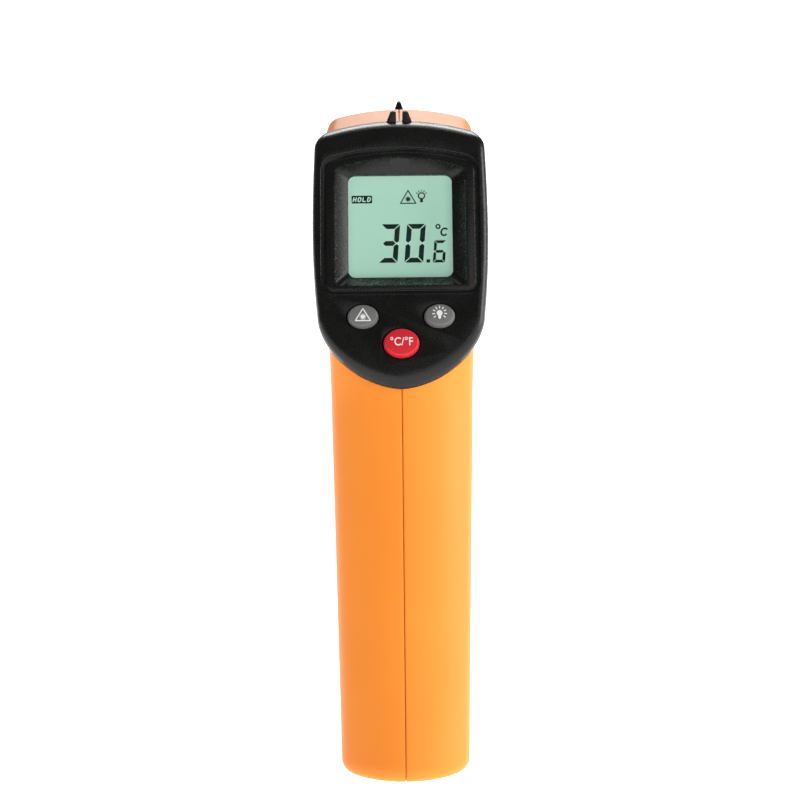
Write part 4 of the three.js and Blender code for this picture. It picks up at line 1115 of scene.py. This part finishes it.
# Seven bars with mitred ends, their outer edges flush with the digit's box.
def digitBars(digit, x0, y0, wide, tall, thick):
    gap, middle = thick * 0.12, tall / 2
    near, far, half = thick + gap, wide - thick - gap, thick / 2

    def level(outer, inner):
        return [(gap, outer), (wide - gap, outer), (far, inner), (near, inner)]

    def upright(x, towards, up):
        inner = x + towards * thick
        root, shoulder = middle + up * gap, middle + up * (gap + half)
        tip, tipInner = middle + up * (middle - gap), middle + up * (middle - near)
        return [(x, tip), (inner, tipInner), (inner, shoulder), (x + towards * half, root),
                (x, shoulder - up * half * 0.4)]

    bars = {
        "a": level(tall, tall - thick),
        "d": level(0, thick),
        "g": [(half + gap, middle), (near, middle + half), (far, middle + half), (wide - half - gap, middle),
              (far, middle - half), (near, middle - half)],
        "f": upright(0, 1, 1),
        "b": upright(wide, -1, 1),
        "e": upright(0, 1, -1),
        "c": upright(wide, -1, -1),
    }
    lit = {"3": "abgcd", "0": "abcdef", "6": "afgedc"}
    return [[(x0 + x + y * display["slant"], y0 + y) for x, y in bars[key]] for key in lit[digit]]


# Four slanted letters in even strokes.
def holdLetters(x0, y0):
    wide, tall, pitch, width, slant = display["holdLetter"]
    shapes = [
        [[(0, 0), (0, 1)], [(1, 0), (1, 1)], [(0, 0.5), (1, 0.5)]],
        [[(0, 0.15), (0, 0.85), (0.2, 1), (0.8, 1), (1, 0.85), (1, 0.15), (0.8, 0), (0.2, 0), (0, 0.15)]],
        [[(0, 1), (0, 0), (1, 0)]],
        [[(0, 0), (0, 1), (0.65, 1), (1, 0.72), (1, 0.28), (0.65, 0), (0, 0)]],
    ]
    marks = []
    for i, lines in enumerate(shapes):
        for line in lines:
            spots = [(x0 + i * pitch + x * wide + y * tall * slant, y0 + y * tall) for x, y in line]
            marks += chain(spots, width)
    return marks


def grown(polygon, by):
    cx = sum(x for x, _ in polygon) / len(polygon)
    cy = sum(y for _, y in polygon) / len(polygon)
    made = []
    for x, y in polygon:
        away = Vector((x - cx, y - cy))
        away = away.normalized() * by
        made.append((x + away.x, y + away.y))
    return made


def makeDisplay():
    glass, halo, inkDepth = display["glass"], display["halo"], display["glass"] + display["halo"]
    digits = [bar for digit in display["digits"] for bar in digitBars(*digit)] + [display["point"]]
    cx, cy, radius, width = display["degree"]
    marks = chain(ellipse(cx, cy, radius, radius, 24), width, True)
    cx, cy, wide, tall, slant, width = display["unit"]
    turns = [math.radians(a) for a in range(*display["unitArc"])]
    letter = [(wide * math.cos(a), tall * math.sin(a)) for a in turns]
    marks += chain([(cx + x + y * slant, cy + y) for x, y in letter], width)
    marks += beamSign(*display["beam"]) + lamp(*display["lamp"], False)
    ringed = [grown(p, display["haloReach"]) for p in digits]
    box = [roundedRectangle(*display["holdBox"])]
    ink, wordDepth = display["ink"], glass + display["wordLift"]
    layers = [  # name, polygons, depth, thickness, finish, slot
        ("displayHalo", ringed, glass, halo, segmentHalo, "display_green"),
        ("displayDigits", digits + marks, inkDepth, ink, segmentInk, "chip_black"),
        ("holdBox", box, inkDepth, ink, segmentInk, "chip_black"),
        ("holdWord", holdLetters(*display["holdWord"]), wordDepth, display["wordThickness"], segmentHalo,
         "display_green"),
    ]
    for name, polygons, depth, thickness, finish, slot in layers:
        raised = [[(x, y + display["drop"]) for x, y in polygon] for polygon in polygons]
        place(artwork(name, raised, flatAt(depth), thickness), finish, "housing", slot)
    outline = roundedRectangle(*display["panel"])
    reachX, reachY = display["panelReach"]
    panel = cushionPlate("lcdGlass", lambda moved: [(x * (1 - moved / reachX), y * (1 - moved / reachY))
                                                    for x, y in outline], display["panelLevels"], faceMatrix)
    place(smooth(panel), displayGlow, "housing", "display_green", ["lcd_panel"])
    pane = plate("windowPane", roundedRectangle(*display["pane"]), *display["paneDepth"], faceMatrix)
    place(smooth(pane), clearWindow, "housing", "clear_window", ["display_window"])


makeDisplay()
print("display made")


# Trigger.

trigger = {
    "half": 5.6,
    "outline": [(13.6, 103), (11.6, 98.5), (10, 93), (9.3, 87.5), (9.9, 82), (9.5, 80.4), (8.2, 79.9),
                (-6, 79.9), (-2.4, 98), (1, 103)],
    "flange": [(-0.4, 94.5), (-2.3, 90), (-4, 85.5), (-5.4, 81.6), (-7, 81.6), (-4.2, 94.5)],
    "pivot": (3.5, 102), "boss": 3, "hole": 1.15, "round": 1.3, "flangeHalf": 7.6,
    "pocket": ((-4.2, -8, 86), (4.2, 3.2, 97.5)),
    "frontFrom": 2.5, "toeBelow": 84,
    "pull": (0.9, 0.6, 0.05),  # share pulled in: along, up at the toe, up elsewhere
}


# Finger-worn front: the outline's front stretch as a smooth curve, its long edges rounded.
def makeTrigger():
    front = [Vector(p) for p in trigger["outline"][:7]]
    dense = []
    for i in range(len(front) - 1):
        p0, p1, p2, p3 = front[max(i - 1, 0)], front[i], front[i + 1], front[min(i + 2, len(front) - 1)]
        for k in range(8):
            t = k / 8
            dense.append(0.5 * ((2 * p1) + (p2 - p0) * t + (2 * p0 - 5 * p1 + 4 * p2 - p3) * t ** 2
                                + (3 * p1 - p0 - 3 * p2 + p3) * t ** 3))
    outline = [tuple(p) for p in dense] + trigger["outline"][6:]
    half, radius = trigger["half"], trigger["round"]
    cx = sum(p[0] for p in outline) / len(outline)
    cz = sum(p[1] for p in outline) / len(outline)
    rings = []
    stations = [(-half + radius * (1 - math.cos(a)), radius * (1 - math.sin(a))) for a in quarterTurn(8)]
    stations += [(-x, drawn) for x, drawn in reversed(stations)]
    alongShare, toeShare, upShare = trigger["pull"]
    for x, drawn in stations:
        ring = []
        for y, z in outline:
            pull = drawn if y > trigger["frontFrom"] else 0
            away = Vector((y - cx, z - cz)).normalized()
            share = toeShare if z < trigger["toeBelow"] else upShare
            ring.append((x, y - away.x * pull * alongShare, z - away.y * pull * share))
        rings.append(ring)
    piece = loft("triggerBlade", rings)
    y, z = trigger["pivot"]
    boss = rod("boss", (-half, y, z), (half, y, z), trigger["boss"], 64)
    flange = sidePlate("flange", trigger["flange"], -trigger["flangeHalf"], trigger["flangeHalf"])
    combine(piece, [boss, flange], "UNION")
    pocket = block("pocket", *trigger["pocket"])
    hole = rod("hole", (-10, y, z), (10, y, z), trigger["hole"], 40)
    combine(piece, [pocket, hole])
    return place(smooth(piece, 30), blackPlastic, "trigger", "black_plastic", ["trigger"])


makeTrigger()
print("trigger made")


# Battery cells, in the grip's axes.

cell = {
    "radius": 5.2, "length": 44.5, "x": 5.6, "y": 0.6, "bottom": 14.6,
    "foot": [(1.2, 0), (1.0, 0.25), (0.35, 0.25), (0, 0.6)],  # inset, height
    "shoulder": [(0, 1.5), (0.3, 1.15), (0.9, 1.0), (1.1, 1.25)],  # inset, below the top
    "button": [(2.2, 1.25), (2.0, 1.1), (1.9, 0.25), (1.65, 0), (0, 0)],  # radius, below the top
}


def makeCell(name, node, side, positiveUp, finish):
    radius, length = cell["radius"], cell["length"]
    profile = [(0, 0)] + [(radius - inset, z) for inset, z in cell["foot"]]
    profile += [(radius - inset, length - down) for inset, down in cell["shoulder"]]
    profile += [(r, length - down) for r, down in cell["button"]]
    if not positiveUp:
        profile = [(r, length - z) for r, z in reversed(profile)]
    x0, y0, z0 = side * cell["x"], cell["y"], cell["bottom"]
    rings = []
    for r, z in profile:
        r = max(r, 1e-3)
        rings.append([(x0 + r * c, y0 + r * s, z0 + z) for c, s in circle(64)])
    piece = loft(name, rings, gripMatrix)
    return place(smooth(piece), finish, "housing", "cell_wrap", [node])


makeCell("leftCell", "battery_left", -1, True, cellFilm("leftCellFilm", 0.044, 0.070))
makeCell("rightCell", "battery_right", 1, False, cellFilm("rightCellFilm", 0.0, 0.028))
print("cells made")


# CAD pieces that keep their shape and take a finish.

carried = [
    (whitePlastic, ["backlight_panel", "lcd_frame"]),
    (zebraRubber, ["zebra_strip"]),
    (greySilicone, ["key_mat"]),
    (greenBoard, ["main_board", "sensor_board", "switch_board"]),
    (chipEpoxy, ["controller_chip", "trigger_switch"]),
    (trayPlastic, ["lens_ring", "optics_tube", "laser_holder", "battery_tray"]),
    (platedSteel, ["board_screw_%d" % number for number in (1, 2, 3, 4)]),
    (platedSteel, ["case_screw_" + spot for spot in ("barrel_front", "barrel_rear", "nose_under", "grip_top",
                                                     "grip_base")]),
    (platedSteel, ["thermopile_sensor", "trigger_pin", "trigger_spring", "contact_positive",
                   "contact_negative", "contact_bridge"]),
    (turnedBrass, ["laser_module"]),
    (clearWindow, ["laser_window"]),
    (redInsulation, ["battery_lead_red", "laser_lead_red"]),
    (blackInsulation, ["battery_lead_black", "laser_lead_black"]),
    (ribbonFilm, ["sensor_ribbon", "switch_ribbon"]),
]
for finish, names in carried:
    for name in names:
        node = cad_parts[name]
        node.data.materials.clear()
        node.data.materials.append(finish)
print("carried pieces finished")


# Floor, light and camera.

studio = {
    "floorHalf": 40.0, "floorGlow": 1.2, "air": 0.16,
    "floorTones": (colour(0.90, 0.90, 0.90), colour(0.93, 0.93, 0.93)),
    "camera": {"distance": 0.597, "elevation": 11.15, "target": (-0.0005, 0, 0.0816), "lens": 108.9,
               "roll": 0.6, "sensor": 36, "clip": (0.01, 200)},
    "lights": {  # degrees round from the camera's side towards +X, degrees up, degrees wide, strength
        "topLight": (170, 76, 32, 0.5),
        "fillLight": (32, 3, 60, 1.0),
        "sideLight": (84, 12, 42, 2.6),
        "backLight": (178, 33, 40, 1.5),
    },
}


def makeFloor():
    half = studio["floorHalf"]
    mesh = bpy.data.meshes.new("floor")
    corners = [(-half, -half, 0), (half, -half, 0), (half, half, 0), (-half, half, 0)]
    mesh.from_pydata(corners, [], [(0, 1, 2, 3)])
    floor = bpy.data.objects.new("floor", mesh)
    sceneRoot.objects.link(floor)
    fixed = {"Roughness": 0.9, "Specular IOR Level": 0.1, "Emission Color": colour(1, 1, 1)}
    finish = Finish("paleFloor", dict(fixed, **{"Emission Strength": studio["floorGlow"]}))
    finish.feed("Base Color", finish.mixColour(finish.noise(3.0), *studio["floorTones"]))
    mesh.materials.append(finish.material)


# Broad lights far away, like large softboxes.
def makeLights():
    for name, (around, up, wide, strength) in studio["lights"].items():
        data = bpy.data.lights.new(name, "SUN")
        data.angle = math.radians(wide)
        data.energy = strength
        light = bpy.data.objects.new(name, data)
        around, up = math.radians(around), math.radians(up)
        towards = Vector((math.sin(around) * math.cos(up), -math.cos(around) * math.cos(up), math.sin(up)))
        light.rotation_euler = towards.to_track_quat("Z", "Y").to_euler()
        sceneRoot.objects.link(light)
    world = bpy.data.worlds.new("studioAir")
    world.use_nodes = True
    air = world.node_tree.nodes["Background"]
    air.inputs["Color"].default_value = colour(1, 1, 1)
    air.inputs["Strength"].default_value = studio["air"]
    bpy.context.scene.world = world


def makeCamera():
    view = studio["camera"]
    data = bpy.data.cameras.new("camera")
    data.lens = view["lens"]
    data.sensor_width = view["sensor"]
    data.clip_start, data.clip_end = view["clip"]
    camera = bpy.data.objects.new("camera", data)
    lift = math.radians(view["elevation"])
    target = Vector(view["target"])
    camera.location = target + Vector((0, -math.cos(lift), math.sin(lift))) * view["distance"]
    aim = (target - camera.location).to_track_quat("-Z", "Y").to_matrix().to_4x4()
    turn = aim @ Matrix.Rotation(math.radians(-view["roll"]), 4, "Z")
    camera.rotation_euler = turn.to_euler()
    sceneRoot.objects.link(camera)
    bpy.context.scene.camera = camera


makeFloor()
makeLights()
makeCamera()
bpy.context.scene.view_settings.view_transform = "Standard"
print("studio made")
